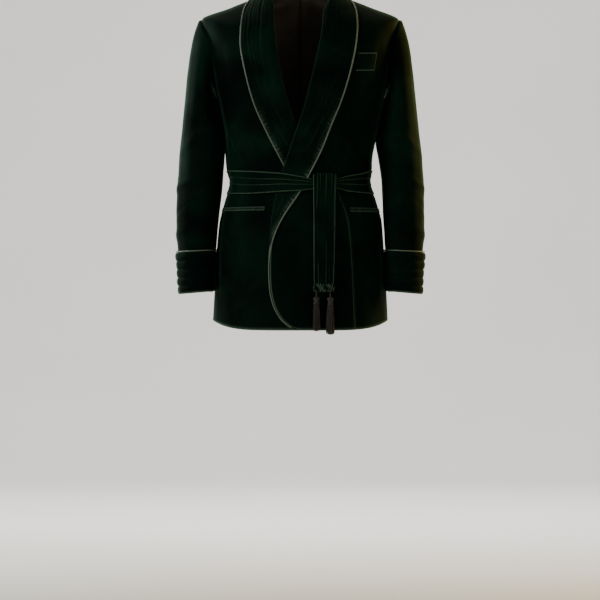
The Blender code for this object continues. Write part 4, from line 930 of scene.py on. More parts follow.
def cuff_point(side, angle, z, out):
    """Give points of the cuff; its lower edge slants down towards the outer side."""
    point = sleeve_point(1.0, angle, np.maximum(z, SLEEVE_END - 0.0005), out)
    slant = mix(0.085, 0.045, (z - CUFF_BOTTOM) / (CUFF_TOP - CUFF_BOTTOM))
    return joined(side * point[..., 0], point[..., 1], z - slant * (point[..., 0] - 0.2430))


def make_cuff(side, hand):
    """Make one turned-back cuff, quilted in channels that pucker along their stitching, and its piping."""
    angles = np.arange(CUFF_SIDES) * 360.0 / CUFF_SIDES
    if side > 0:
        angles = angles[::-1]
    steps = CUFF_CHANNELS * 9
    z = np.linspace(CUFF_BOTTOM, CUFF_TOP, steps + 1)[:, None]
    share = (np.arange(steps + 1) % 9 / 9.0)[:, None]
    channel = (np.arange(steps + 1) // 9)[:, None]
    crest = np.sin(np.pi * share) ** 0.55
    turn = np.radians(angles)[None]
    pucker = 0.5 + 0.5 * np.sin(turn * 46.0 + channel * 2.1 + 1.7 * np.sin(turn * 5.0 + channel))
    uneven = 1.0 + 0.18 * np.sin(turn * 3.0 + channel * 1.9 + side) + 0.10 * np.sin(turn * 11.0 - channel)
    relief = CHANNEL_HEIGHT * crest * uneven + 0.55 * MM * pucker * (1.0 - crest) * (share > 0.0)
    relief = relief + 0.35 * MM * pucker * np.exp(-((share - 0.5) / 0.33) ** 2)
    grid = cuff_point(side, angles[None], z, CUFF_GAP + CUFF_WALL + relief)
    cuff = cloth("cuff_" + hand + "_velvet", grid, CUFF_WALL + relief, around=True, inside=0,
                 bare=("hem",), fold_sheen=1.0)
    line = cuff_point(side, angles, np.full(angles.shape, CUFF_TOP + CUFF_CORD_RADIUS + 0.3 * MM),
                      CUFF_GAP + CUFF_WALL - 0.8 * MM)
    return cuff, round_cord("cuff_cord_" + hand + "_satin", line, CUFF_CORD_RADIUS, cyclic=True,
                            twist=900.0)


# The sash round the waist, by the angle from its free end at the wearer's left of the knot, round the back
BELT = table(
    "angle top bottom out",
    (19.0, -0.4450, -0.4670, 8.6 * MM), (27.0, -0.4435, -0.4690, 8.2 * MM),
    (36.0, -0.4357, -0.4755, 7.4 * MM),
    (54.0, -0.4286, -0.4780, 4.0 * MM), (75.0, -0.4215, -0.4785, 1.6 * MM),
    (95.0, -0.4210, -0.4770, 1.0 * MM),
    (180.0, -0.4225, -0.4765, 1.6 * MM), (275.0, -0.4208, -0.4775, 1.2 * MM),
    (318.0, -0.4238, -0.4800, 3.8 * MM),
    (334.0, -0.4262, -0.4795, 8.6 * MM), (347.0, -0.4296, -0.4770, 11.2 * MM),
    (359.0, -0.4371, -0.4745, 11.4 * MM),
    (368.0, -0.4446, -0.4700, 10.6 * MM), (373.0, -0.4455, -0.4690, 9.8 * MM),
)
# The sash's lengthwise folds from its top edge to its bottom edge, and how each wanders up and down
PLEATS = table(
    "share rise",
    (0.000, 0.3 * MM), (0.045, 1.5 * MM), (0.095, 0.2 * MM), (0.200, 0.0), (0.290, 2.0 * MM),
    (0.335, 0.4 * MM),
    (0.450, 0.2 * MM), (0.560, 2.1 * MM), (0.605, 0.4 * MM), (0.730, 0.1 * MM), (0.880, 0.7 * MM),
    (0.960, 1.9 * MM), (1.000, 0.4 * MM),
)


def off_body(angle, z, out):
    """Give points that lie off the body's plain form at angles and heights."""
    level = level_at(angle, z)
    out = np.expand_dims(np.broadcast_to(out, level.shape), -1)
    return body_base(angle, level) + body_normal(angle, level) * out


def make_belt():
    """Make the sash round the waist, with lengthwise folds that run together at the knot."""
    angle = np.linspace(BELT["angle"][0], BELT["angle"][-1], 290)[None, :]
    share = np.linspace(1.0, 0.0, 54)[:, None]
    top, bottom = follow(BELT, "top", angle), follow(BELT, "bottom", angle)
    turn = np.radians(angle)
    wander = 0.050 * np.sin(1.6 * turn + 3.0 * share) + 0.026 * np.sin(4.0 * turn + 1.0)
    shifted = np.clip(share + wander * np.sin(np.pi * share), 0.0, 1.0)
    near_knot = 1.0 + 0.5 * np.exp(-((angle - 352.0) / 16.0) ** 2)
    near_knot = near_knot + 0.3 * np.exp(-((angle - 30.0) / 14.0) ** 2)
    for side_seam in (271.0, 89.0):
        near_knot = near_knot - 0.65 * np.exp(-((angle - side_seam) / 15.0) ** 2)
    rise = follow(PLEATS, "rise", shifted) * near_knot
    grid = off_body(wrap(angle), mix(top, bottom, share),
                    follow(BELT, "out", angle) + rise + BELT_WALL / 2.0)
    return cloth("belt_band_velvet", grid, BELT_WALL, inside=0, bare=("foot", "top"), fold_sheen=0.55)


# The sash's end over the band: height, how far it lies off the body, its two edges and its gathers' rise
END_STRIP = table(
    "at z out right left gather",
    (0, -0.4425, 8.0 * MM, 0.0300, 0.0820, 0.2 * MM), (1, -0.4350, 7.8 * MM, 0.0298, 0.0830, 0.6 * MM),
    (2, -0.4308, 10.6 * MM, 0.0295, 0.0835, 1.8 * MM), (3, -0.4330, 14.6 * MM, 0.0292, 0.0838, 2.6 * MM),
    (4, -0.4430, 16.2 * MM, 0.0292, 0.0835, 2.8 * MM), (5, -0.4570, 16.8 * MM, 0.0294, 0.0830, 2.6 * MM),
    (6, -0.4730, 16.2 * MM, 0.0296, 0.0825, 2.3 * MM), (7, -0.4950, 13.8 * MM, 0.0298, 0.0820, 2.0 * MM),
    (8, -0.5300, 12.6 * MM, 0.0300, 0.0815, 1.7 * MM), (9, -0.5750, 12.8 * MM, 0.0302, 0.0806, 1.5 * MM),
    (10, -0.6200, 13.6 * MM, 0.0304, 0.0796, 1.5 * MM), (11, -0.6600, 14.4 * MM, 0.0308, 0.0785, 1.6 * MM),
    (12, -0.6880, 15.0 * MM, 0.0312, 0.0775, 2.0 * MM),
)
# The gathers' crests across the end: their places at its top and foot, their weight, and how far down the end
# each starts and stops
GATHERS = table(
    "top foot weight start stop",
    (0.045, 0.035, 1.3, 0.40, 0.80), (0.190, 0.075, 1.0, 0.40, 0.56), (0.320, 0.290, 0.8, 0.40, 0.50),
    (0.450, 0.440, 0.7, 0.40, 0.475), (0.575, 0.540, 0.8, 0.40, 0.54), (0.700, 0.690, 0.7, 0.40, 0.49),
    (0.830, 0.850, 0.6, 0.40, 0.52), (0.960, 0.965, 1.3, 0.40, 0.80), (0.080, 0.230, 0.9, 0.62, 0.80),
    (0.420, 0.390, 0.5, 0.66, 0.80), (0.560, 0.610, 0.8, 0.57, 0.80), (0.740, 0.780, 0.5, 0.63, 0.80),
)


def make_belt_end():
    """Make the sash's hanging end with rounded gathers, turned over the band at its top."""
    at = np.linspace(12.0, 0.0, 180)[:, None]
    share = np.linspace(0.0, 1.0, 68)[None, :]
    z = follow(END_STRIP, "z", at)
    down = ease(-z, 0.43, 0.70)
    rise = np.zeros(np.broadcast(at, share).shape)
    for i in range(len(GATHERS["top"])):
        g = {name: values[i] for name, values in GATHERS.items()}
        crest = mix(g["top"], g["foot"], down) + 0.010 * np.sin(30.0 * z + 2.0 * i)
        fade = ease(-z, g["start"], g["start"] + 0.03) * (1.0 - ease(-z, g["stop"] - 0.08, g["stop"]))
        rise = rise + g["weight"] * fade * np.exp(-((share - crest) / 0.040) ** 2)
    x = mix(follow(END_STRIP, "right", at), follow(END_STRIP, "left", at), share)
    gather = follow(END_STRIP, "gather", at)
    out = follow(END_STRIP, "out", at) + (rise - 0.35) * gather * np.where(at < 2.0, 0.6, 1.0)
    angle, level = place_on_front(x, np.broadcast_to(z, x.shape))
    base, normal = body_base(angle, level), body_normal(angle, level)
    grid = joined(x, base[..., 1] + normal[..., 1] * (out + BELT_WALL / 2.0), z)
    grid = grid + joined(0.0, 1.0, 0.0) * ripple(grid, 0.03, 15, 0.4 * MM)[..., None]
    rounded = 3.2 * MM * np.abs(2.0 * share - 1.0) ** 4 * (1.0 - ease(at, 2.5, 5.0))
    grid = grid - joined(0.0, 0.0, rounded)
    return cloth("belt_end_velvet", grid, BELT_WALL, inside=0, bare=("first", "last"), fold_sheen=0.42)


HEM_TOP = -0.6885
HEM_BOTTOM = -0.7072
HEM_RIGHT = 0.0307
HEM_LEFT = 0.0780
HEM_OUT = 15.0 * MM
HEM_WALL = 3.0 * MM


def make_belt_hem():
    """Make the ruched band across the sash's end, crushed into short upright folds."""
    u = np.linspace(0.0, 1.0, 22)[:, None]
    share = np.linspace(0.0, 1.0, 120)[None, :]
    x = mix(HEM_RIGHT, HEM_LEFT, share)
    z = mix(HEM_BOTTOM, HEM_TOP, u) + 1.2 * MM * np.sin(31.0 * share + 1.0) * (1.0 - u)
    z = z + 0.9 * MM * np.sin(43.0 * share) * u
    x = x + 1.8 * MM * np.sin(np.pi * u) * (2.0 * share - 1.0) ** 3
    swell = np.sin(np.pi * u) ** 0.6
    folds = np.abs(np.sin(np.pi * (9.0 * share + 0.35 * np.sin(5.0 * u + 11.0 * share)))) ** 0.8
    folds = folds * (0.75 + 0.25 * np.sin(17.0 * share + 3.0 * u))
    base = body_base(*place_on_front(np.broadcast_to(x, z.shape), z))
    out = HEM_OUT + HEM_WALL / 2.0 + 2.2 * MM * folds + 1.6 * MM * swell
    grid = joined(x, base[..., 1] - out, z)
    return cloth("belt_hem_velvet", grid, HEM_WALL, inside=0, fold_sheen=1.0)


# The two tassels: place across, heights of the head's top and bottom and of the skirt's end, and its radius
TASSELS = (
    {"name": "tassel_right", "x": 0.0370, "top": -0.7180, "head": -0.7330, "end": -0.7995,
     "radius": 8.6 * MM},
    {"name": "tassel_left", "x": 0.0692, "top": -0.7190, "head": -0.7355, "end": -0.8075,
     "radius": 10.2 * MM},
)
# A tassel's head from its skirt up to its cord: share of the head's height, and radius
TASSEL_HEAD = (
    (-0.12, 7.6), (0.00, 7.3), (0.10, 6.6), (0.16, 5.5), (0.20, 5.9), (0.26, 6.1), (0.32, 5.8), (0.36, 5.5),
    (0.46, 6.9), (0.58, 7.6), (0.72, 7.6), (0.84, 6.5), (0.94, 4.4), (1.00, 2.3), (1.30, 1.6), (1.66, 1.6),
)


def deselect():
    """Leave nothing selected."""
    if bpy.context.mode != "OBJECT":
        bpy.ops.object.mode_set(mode="OBJECT")
    bpy.ops.object.select_all(action="DESELECT")


def joined_piece(name, pieces):
    """Join pieces into the first one and apply its place."""
    deselect()
    for piece in pieces:
        piece.select_set(True)
    bpy.context.view_layer.objects.active = pieces[0]
    bpy.ops.object.join()
    bpy.ops.object.transform_apply(location=True, rotation=True, scale=True)
    pieces[0].name = name
    bpy.ops.object.shade_smooth()
    return pieces[0]


def make_tassel_head(row, y):
    """Turn a tassel's bound head and cord out of a cylinder, ring by ring."""
    height = row["top"] - row["head"]
    deselect()
    low, radius = TASSEL_HEAD[0]
    bpy.ops.mesh.primitive_cylinder_add(vertices=28, radius=radius * MM, depth=0.2 * MM,
                                        end_fill_type="NGON",
                                        location=(row["x"], y, row["head"] + low * height))
    head = bpy.context.object
    bpy.ops.object.mode_set(mode="EDIT")
    bpy.ops.mesh.select_mode(type="FACE")
    bpy.ops.mesh.select_all(action="DESELECT")
    form = bmesh.from_edit_mesh(head.data)
    form.faces.ensure_lookup_table()
    cap = max(form.faces, key=lambda face: face.calc_center_median().z)
    cap.select_set(True)
    bmesh.update_edit_mesh(head.data)
    for (below, inner), (above, outer) in zip(TASSEL_HEAD, TASSEL_HEAD[1:]):
        rise = (0.0, 0.0, (above - below) * height)
        bpy.ops.mesh.extrude_region_move(TRANSFORM_OT_translate={"value": rise})
        bpy.ops.transform.resize(value=(outer / inner, outer / inner, 1.0))
    bpy.ops.object.mode_set(mode="OBJECT")
    bpy.ops.object.transform_apply(location=True, rotation=True, scale=True)
    for vertex in head.data.vertices:
        turn = math.atan2(vertex.co.y - y, vertex.co.x - row["x"])
        wound = 1.0 + 0.035 * math.sin(2.0 * turn + (vertex.co.z - row["head"]) * 5200.0)
        vertex.co.x = row["x"] + (vertex.co.x - row["x"]) * wound
        vertex.co.y = y + (vertex.co.y - y) * wound
    return head


STRANDS = 84


def make_strand(row, y, place, draw):
    """Draw out one hanging strand from a small five-sided cylinder."""
    reach, turn = place
    root = 6.0 * MM * reach
    foot = row["radius"] * reach * draw.uniform(0.94, 1.05)
    length = (row["head"] - row["end"]) * (1.0 - 0.05 * reach ** 2) * draw.uniform(0.965, 1.0)
    x, deep = row["x"] + root * math.cos(turn), y + root * math.sin(turn)
    bpy.ops.mesh.primitive_cylinder_add(vertices=5, radius=0.62 * MM, depth=0.2 * MM, end_fill_type="NGON",
                                        location=(x, deep, row["head"] - 0.1 * MM))
    strand = bpy.context.object
    bpy.ops.object.mode_set(mode="EDIT")
    bpy.ops.mesh.select_mode(type="FACE")
    bpy.ops.mesh.select_all(action="DESELECT")
    form = bmesh.from_edit_mesh(strand.data)
    min(form.faces, key=lambda face: face.calc_center_median().z).select_set(True)
    bmesh.update_edit_mesh(strand.data)
    wave = draw.uniform(0.0, 6.28)
    for step, share in enumerate((0.22, 0.24, 0.18, 0.13, 0.10, 0.08, 0.05)):
        out = (foot - root) * share
        sway = 0.16 * MM * math.sin(wave + 1.9 * step)
        bpy.ops.mesh.extrude_region_move(TRANSFORM_OT_translate={"value": (
            out * math.cos(turn) - sway * math.sin(turn), out * math.sin(turn) + sway * math.cos(turn),
            -length / 7.0)})
    bpy.ops.transform.resize(value=(0.6, 0.6, 1.0))
    bpy.ops.object.mode_set(mode="OBJECT")
    return strand


def make_tassel(row):
    """Make one tassel: its wound head and cord, with a full skirt of strands below."""
    draw = random.Random(row["name"])
    z = (HEM_TOP + HEM_BOTTOM) / 2.0
    y = float(body_base(*place_on_front(row["x"], z))[1]) - HEM_OUT - 1.0 * MM
    pieces = [make_tassel_head(row, y)]
    golden = math.pi * (3.0 - math.sqrt(5.0))
    for i in range(STRANDS):
        reach = math.sqrt((i + 0.5) / STRANDS)
        pieces.append(make_strand(row, y, (reach, i * golden + draw.uniform(-0.08, 0.08)), draw))
    return joined_piece(row["name"] + "_silk", pieces)


# Pockets by angle on the body: their two ends, the height of the middle at each end, and their height
POCKETS = (
    {"name": "breast_welt", "start": 33.0, "end": 51.2, "start_z": -0.1720, "end_z": -0.1700,
     "height": 0.0415},
    {"name": "hip_jet_right", "start": -79.0, "end": -23.5, "start_z": -0.5145, "end_z": -0.5135,
     "height": 0.0090},
    {"name": "hip_jet_left", "start": 35.2, "end": 81.0, "start_z": -0.5160, "end_z": -0.5160,
     "height": 0.0100},
)
WELT_GAP = 0.4 * MM
WELT_WALL = 2.0 * MM


def make_pocket(row):
    """Make the breast welt with its sunk border stitching, or a pair of rounded jets."""
    surface = body_point if row["start"] < 0 else over_point
    share = np.linspace(0.0, 1.0, 27)[:, None]
    across = np.linspace(0.0, 1.0, 80)[None, :]
    if row["name"] == "breast_welt":
        border = np.minimum(np.minimum(share, 1.0 - share) * row["height"],
                            np.minimum(across, 1.0 - across) * 0.046)
        rise = 0.5 * MM - 0.4 * MM * np.exp(-((border - 0.0050) / 0.0016) ** 2)
        rise = rise + 0.2 * MM * np.exp(-((border - 0.0012) / 0.0018) ** 2) + 0.0 * across
    else:
        rise = 1.5 * MM * np.abs(np.sin(2.0 * np.pi * share)) ** 0.7 - 0.4 * MM + 0.0 * across
        rise = rise + 0.2 * MM * np.sin(40.0 * across)
    angle = mix(row["start"], row["end"], across) + 0.0 * share
    z = mix(row["start_z"], row["end_z"], across) + (share - 0.5) * row["height"]
    grid = surface(angle, level_at(angle, z), out=WELT_WALL + WELT_GAP + rise)
    return cloth(row["name"] + "_velvet", grid, WELT_WALL, inside=0, bare=("foot", "top", "last"))


def new_group(name, inputs, outputs):
    """Start a shader node group with named inputs and outputs."""
    group = bpy.data.node_groups.new(name, "ShaderNodeTree")
    for label, kind, value in inputs:
        group.interface.new_socket(name=label, in_out="INPUT", socket_type=kind).default_value = value
    for label, kind in outputs:
        group.interface.new_socket(name=label, in_out="OUTPUT", socket_type=kind)
    return group, group.nodes.new("NodeGroupInput"), group.nodes.new("NodeGroupOutput")


def place_node(tree, kind, links, values=(), **settings):
    """Add a node, set its options and its inputs' values, and link into it."""
    node = tree.nodes.new(kind)
    for name, value in settings.items():
        setattr(node, name, value)
    for socket, value in dict(values).items():
        node.inputs[socket].default_value = value
    for socket, source in links:
        tree.links.new(source, node.inputs[socket])
    return node


MIX_COLOUR = {"factor": 0, "first": 6, "second": 7, "result": 2}


def colour_mix(tree, factor, first, second):
    """Mix two colours, each given as a socket or a value, by a factor."""
    node = place_node(tree, "ShaderNodeMix", [(MIX_COLOUR["factor"], factor)], data_type="RGBA")
    for name, colour in (("first", first), ("second", second)):
        socket = node.inputs[MIX_COLOUR[name]]
        if isinstance(colour, tuple):
            socket.default_value = (*colour, 1.0)
        else:
            tree.links.new(colour, socket)
    return node.outputs[MIX_COLOUR["result"]]


def math_node(tree, operation, first, second):
    """Combine two values, each given as a socket or a number."""
    node = tree.nodes.new("ShaderNodeMath")
    node.operation = operation
    for socket, value in zip(node.inputs, (first, second)):
        if isinstance(value, (int, float)):
            socket.default_value = value
        else:
            tree.links.new(value, socket)
    return node.outputs[0]


def share_between(tree, value, low, high, start=0.0, end=1.0):
    """Bring a value's range to another range."""
    node = place_node(tree, "ShaderNodeMapRange", [("Value", value)],
                      {"From Min": low, "From Max": high, "To Min": start, "To Max": end})
    return node.outputs["Result"]


def noise_of(tree, vector, scale, detail=2.0, roughness=0.5, distortion=0.0):
    """Add a noise over a vector."""
    return place_node(tree, "ShaderNodeTexNoise", [("Vector", vector)],
                      {"Scale": scale, "Detail": detail, "Roughness": roughness,
                       "Distortion": distortion}).outputs["Fac"]


def make_pile_group():
    """Make the velvet's pile: broad brushed patches, short combed streaks, grain and painted sheen on folds.
    """
    group, start, end = new_group(
        "velvet pile",
        [("Deep", "NodeSocketColor", (0.001, 0.009, 0.005, 1.0)),
         ("Lit", "NodeSocketColor", (0.004, 0.040, 0.024, 1.0)),
         ("Rubbed", "NodeSocketColor", (0.060, 0.110, 0.080, 1.0)), ("Streak", "NodeSocketFloat", 0.2)],
        [("Color", "NodeSocketColor"), ("Roughness", "NodeSocketFloat"), ("Height", "NodeSocketFloat")])
    place = group.nodes.new("ShaderNodeTexCoord")
    crest = place_node(group, "ShaderNodeAttribute", [], attribute_type="GEOMETRY", attribute_name="crest")
    broad = noise_of(group, place.outputs["Object"], 9.0, 2.0, 0.5, 0.5)
    stretch = place_node(group, "ShaderNodeMapping", [("Vector", place.outputs["UV"])],
                         {"Scale": (330.0, 28.0, 1.0)})
    combed = noise_of(group, stretch.outputs["Vector"], 1.0, 3.0, 0.6, 0.3)
    fine = noise_of(group, place.outputs["Object"], 1500.0, 2.0, 0.7)
    streaks = math_node(group, "MULTIPLY", math_node(group, "SUBTRACT", combed, 0.5),
                        start.outputs["Streak"])
    brushed = math_node(group, "ADD", broad, streaks)
    grain = math_node(group, "MULTIPLY", math_node(group, "SUBTRACT", fine, 0.5), 0.22)
    share = share_between(group, math_node(group, "ADD", brushed, grain), 0.30, 0.74)
    colour = colour_mix(group, share, start.outputs["Deep"], start.outputs["Lit"])
    uneven = share_between(group, math_node(group, "ADD", combed, fine), 0.75, 1.25, 0.35, 1.0)
    # Painted sheen highlight: the pile turns pale sage where the crest attribute is high, on folds and bare
    # edges.
    painted_sheen = math_node(group, "MULTIPLY", math_node(group, "POWER", crest.outputs["Fac"], 1.3), uneven)
    group.links.new(colour_mix(group, painted_sheen, colour, start.outputs["Rubbed"]), end.inputs["Color"])
    group.links.new(share_between(group, brushed, 0.3, 0.7, 0.84, 0.70), end.inputs["Roughness"])
    height = math_node(group, "ADD", math_node(group, "MULTIPLY", fine, 0.30), streaks)
    group.links.new(height, end.inputs["Height"])
    return group


def make_twist_group():
    """Make the fine slanting ribs of a cord or a wound thread, by its turn and length."""
    group, start, end = new_group(
        "slanting ribs",
        [("Around", "NodeSocketFloat", 2.0), ("Along", "NodeSocketFloat", 500.0)],
        [("Ridge", "NodeSocketFloat"), ("Shade", "NodeSocketFloat")])
    place = group.nodes.new("ShaderNodeTexCoord")
    parts = place_node(group, "ShaderNodeSeparateXYZ", [("Vector", place.outputs["UV"])])
    turned = math_node(group, "MULTIPLY", parts.outputs["X"], start.outputs["Around"])
    run = math_node(group, "MULTIPLY", parts.outputs["Y"], start.outputs["Along"])
    uneven = noise_of(group, place.outputs["Object"], 260.0, 2.0, 0.6)
    phase = math_node(group, "ADD", math_node(group, "ADD", turned, run),
                      math_node(group, "MULTIPLY", uneven, 0.5))
    ridge = math_node(group, "PINGPONG", phase, 0.5)
    group.links.new(ridge, end.inputs["Ridge"])
    group.links.new(share_between(group, math_node(group, "ADD", ridge, uneven), 0.2, 1.1),
                    end.inputs["Shade"])
    return group


PILE = make_pile_group()
RIBS = make_twist_group()


def new_material(name):
    """Start a material and give its tree and its Principled BSDF."""
    material = bpy.data.materials.new(name)
    material.use_nodes = True
    return material, material.node_tree, material.node_tree.nodes["Principled BSDF"]


def place_group(tree, group, **values):
    """Place a node group with its own values."""
    node = tree.nodes.new("ShaderNodeGroup")
    node.node_tree = group
    for name, value in values.items():
        node.inputs[name].default_value = value
    return node


def bump_of(tree, shader, height, distance, strength=1.0):
    """Raise the surface by a height."""
    bump = place_node(tree, "ShaderNodeBump", [("Height", height)],
                      {"Strength": strength, "Distance": distance})
    tree.links.new(bump.outputs["Normal"], shader.inputs["Normal"])


def make_velvet(name, deep, lit, painted_sheen, streak, sheen=1.0):
    """Make a cotton velvet: a dark pile with a painted sheen highlight on its folds and where it is seen edge
    on.
    """
    material, tree, shader = new_material(name)
    pile = place_group(tree, PILE, Deep=(*deep, 1.0), Lit=(*lit, 1.0), Rubbed=(*painted_sheen, 1.0), Streak=streak)
    # Painted sheen: the colour turns pale sage where the surface is seen edge on.
    edge_on = place_node(tree, "ShaderNodeLayerWeight", [], {"Blend": 0.5})
    pale = math_node(tree, "MULTIPLY", share_between(tree, edge_on.outputs["Facing"], 0.58, 1.0), 0.55)
    colour = colour_mix(tree, pale, pile.outputs["Color"], (0.070, 0.150, 0.100))
    tree.links.new(colour, shader.inputs["Base Color"])
    tree.links.new(pile.outputs["Roughness"], shader.inputs["Roughness"])
    bump_of(tree, shader, pile.outputs["Height"], 0.0005, 0.7)
    shader.inputs["Specular IOR Level"].default_value = 0.05
    shader.inputs["Sheen Weight"].default_value = sheen
    shader.inputs["Sheen Roughness"].default_value = 0.14
    shader.inputs["Sheen Tint"].default_value = (0.07, 0.34, 0.20, 1.0)
    return material


def make_satin_cord():
    """Make the piping's satin: sage, ribbed on the slant, with a soft gloss and painted shade at its sides."""
    material, tree, shader = new_material("sage satin piping")
    ribs = place_group(tree, RIBS, Around=2.0, Along=330.0)
    colour = colour_mix(tree, ribs.outputs["Shade"], (0.040, 0.066, 0.048), (0.165, 0.225, 0.165))
    # Painted shade: the cord darkens towards its sides, where it is seen edge on.
    edge_on = place_node(tree, "ShaderNodeLayerWeight", [], {"Blend": 0.5})
    painted_edge_shade = share_between(tree, edge_on.outputs["Facing"], 0.15, 0.75)
    tree.links.new(colour_mix(tree, painted_edge_shade, colour, (0.008, 0.018, 0.011)), shader.inputs["Base Color"])
    tree.links.new(share_between(tree, ribs.outputs["Shade"], 0.0, 1.0, 0.48, 0.34),
                   shader.inputs["Roughness"])
    bump_of(tree, shader, ribs.outputs["Ridge"], 0.0005, 0.7)
    shader.inputs["Specular IOR Level"].default_value = 0.55
    shader.inputs["Sheen Weight"].default_value = 0.04
    shader.inputs["Sheen Roughness"].default_value = 0.35
    return material


def make_lining():
    """Make the inside's bronze satin, with its fine warp and a few soft press marks."""
    material, tree, shader = new_material("bronze satin lining")
    place = tree.nodes.new("ShaderNodeTexCoord")
    soft = noise_of(tree, place.outputs["Object"], 16.0, 3.0, 0.5, 0.6)
    stretch = place_node(tree, "ShaderNodeMapping", [("Vector", place.outputs["UV"])],
                         {"Scale": (2600.0, 90.0, 1.0)})
    warp = noise_of(tree, stretch.outputs["Vector"], 1.0, 2.0, 0.6)
    share = share_between(tree, math_node(tree, "ADD", soft, math_node(tree, "MULTIPLY", warp, 0.5)), 0.5,
                          1.0)
    tree.links.new(colour_mix(tree, share, (0.020, 0.013, 0.008), (0.060, 0.040, 0.024)),
                   shader.inputs["Base Color"])
    tree.links.new(share_between(tree, share, 0.0, 1.0, 0.46, 0.32), shader.inputs["Roughness"])
    bump_of(tree, shader, math_node(tree, "ADD", math_node(tree, "MULTIPLY", warp, 0.1), soft), 0.0015, 0.5)
    shader.inputs["Sheen Weight"].default_value = 0.2
    shader.inputs["Sheen Roughness"].default_value = 0.4
    return material


def make_silk():
    """Make the tassels' dark twisted silk."""
    material, tree, shader = new_material("dark tassel silk")
    place = tree.nodes.new("ShaderNodeTexCoord")
    stretch = place_node(tree, "ShaderNodeMapping", [("Vector", place.outputs["Object"])],
                         {"Scale": (900.0, 900.0, 260.0)})
    thread = noise_of(tree, stretch.outputs["Vector"], 1.0, 3.0, 0.6, 0.5)
    tree.links.new(colour_mix(tree, share_between(tree, thread, 0.3, 0.7), (0.004, 0.0032, 0.0025),
                              (0.026, 0.019, 0.014)), shader.inputs["Base Color"])
    tree.links.new(share_between(tree, thread, 0.3, 0.7, 0.55, 0.40), shader.inputs["Roughness"])
    bump_of(tree, shader, thread, 0.0004, 0.6)
    shader.inputs["Sheen Weight"].default_value = 0.3
    shader.inputs["Sheen Roughness"].default_value = 0.4
    return material


# Pale sage of the painted sheen highlight on folds and bare edges.
PAINTED_SHEEN = (0.115, 0.200, 0.140)
VELVET = make_velvet("bottle green velvet", (0.0002, 0.0028, 0.0016), (0.0007, 0.0150, 0.0085), PAINTED_SHEEN,
                     0.20)
COLLAR_VELVET = make_velvet("bottle green collar velvet", (0.0002, 0.0032, 0.0018),
                            (0.0008, 0.0175, 0.0098),
                            PAINTED_SHEEN, 0.40)
LINING = make_lining()
SATIN = make_satin_cord()
SILK = make_silk()


def dress(piece, nodes, finish):
    """Give a piece its materials and let it stand for its solids."""
    for material in finish:
        piece.data.materials.append(material)
    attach(piece, "root")
    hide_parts(*nodes)
    return piece


def dress_cloth(piece, node, velvet=None):
    """Give a piece of cloth its velvet and its lining, and let it stand for its solid."""
    return dress(piece, [node], [velvet or VELVET, LINING])


def dress_cord(piece, node):
    return dress(piece, [node], [SATIN])


def make_jacket():
    """Make every piece of the jacket."""
    dress_cloth(make_front_left(), "front_left")
    dress_cloth(make_front_right(), "front_right")
    dress_cloth(make_back("back_left_velvet", 1), "back_left")
    dress_cloth(make_back("back_right_velvet", -1), "back_right")
    dress_cloth(make_collar("collar_left_velvet", LEFT_LAPEL, LEFT_LEAF_END, 270, 80, over_point,
                            LEFT_LEAF_CREASES), "collar_left", COLLAR_VELVET)
    dress_cloth(make_collar("collar_right_velvet", RIGHT_LAPEL, RIGHT_LEAF_END, 195, 80, body_point,
                            RIGHT_LEAF_CREASES), "collar_right", COLLAR_VELVET)
    dress_cord(make_collar_cord("collar_cord_left_satin", LEFT_LAPEL, COLLAR_CORD_END, 270, 150, over_point,
                                0.05),
               "collar_cord_left")
    dress_cord(make_collar_cord("collar_cord_right_satin", RIGHT_LAPEL, RIGHT_LEAF_END - 0.014, 200, 150,
                                body_point,
                                0.0),
               "collar_cord_right")
    dress_cord(make_front_cord(), "front_cord")
    for side, hand in ((1.0, "left"), (-1.0, "right")):
        top, under = make_sleeve(side, hand)
        dress_cloth(top, "sleeve_top_" + hand)
        dress_cloth(under, "sleeve_under_" + hand)
        cuff, cord = make_cuff(side, hand)
        dress_cloth(cuff, "cuff_" + hand)
        dress_cord(cord, "cuff_cord_" + hand)
    dress_cloth(make_belt(), "belt_band", COLLAR_VELVET)
    dress_cloth(make_belt_end(), "belt_end", COLLAR_VELVET)
    dress_cloth(make_belt_hem(), "belt_hem")
    for row in TASSELS:
        dress(make_tassel(row), [row["name"]], [SILK])
    for row in POCKETS:
        dress_cloth(make_pocket(row), row["name"])


make_jacket()

FLOOR_LEVEL = -1.46
SUBJECT = Vector((0.0, -0.02, -0.40))


def make_stage():
    """Make the pale floor that curves up into its backdrop."""
    deselect()
    bpy.ops.mesh.primitive_plane_add(size=1.0, location=(0.0, 0.0, FLOOR_LEVEL))
    floor = bpy.context.object
    floor.name = "floor_and_backdrop"
    floor.scale = (40.0, 24.0, 1.0)
    floor.location.y = -6.0
    bpy.ops.object.transform_apply(location=True, rotation=False, scale=True)
    bpy.ops.object.mode_set(mode="EDIT")
    bpy.ops.mesh.select_mode(type="EDGE")
    bpy.ops.mesh.select_all(action="DESELECT")
    form = bmesh.from_edit_mesh(floor.data)
    rear = max(form.edges, key=lambda edge: sum(vert.co.y for vert in edge.verts))
    rear.select_set(True)
    bmesh.update_edit_mesh(floor.data)
    for step in range(24):
        turn = math.radians(90.0 * (step + 0.5) / 24.0)
        bpy.ops.mesh.extrude_region_move(
            TRANSFORM_OT_translate={"value": (0.0, 0.20 * math.cos(turn), 0.20 * math.sin(turn))})
    bpy.ops.mesh.extrude_region_move(TRANSFORM_OT_translate={"value": (0.0, 0.0, 8.0)})
    bpy.ops.object.mode_set(mode="OBJECT")
    bpy.ops.object.shade_smooth()
    material, tree, shader = new_material("pale studio paper")
    place = tree.nodes.new("ShaderNodeTexCoord")
    soft = noise_of(tree, place.outputs["Object"], 1.2, 2.0)
    tree.links.new(colour_mix(tree, soft, (0.50, 0.48, 0.46), (0.56, 0.54, 0.52)),
                   shader.inputs["Base Color"])
    shader.inputs["Roughness"].default_value = 0.9
    floor.data.materials.append(material)


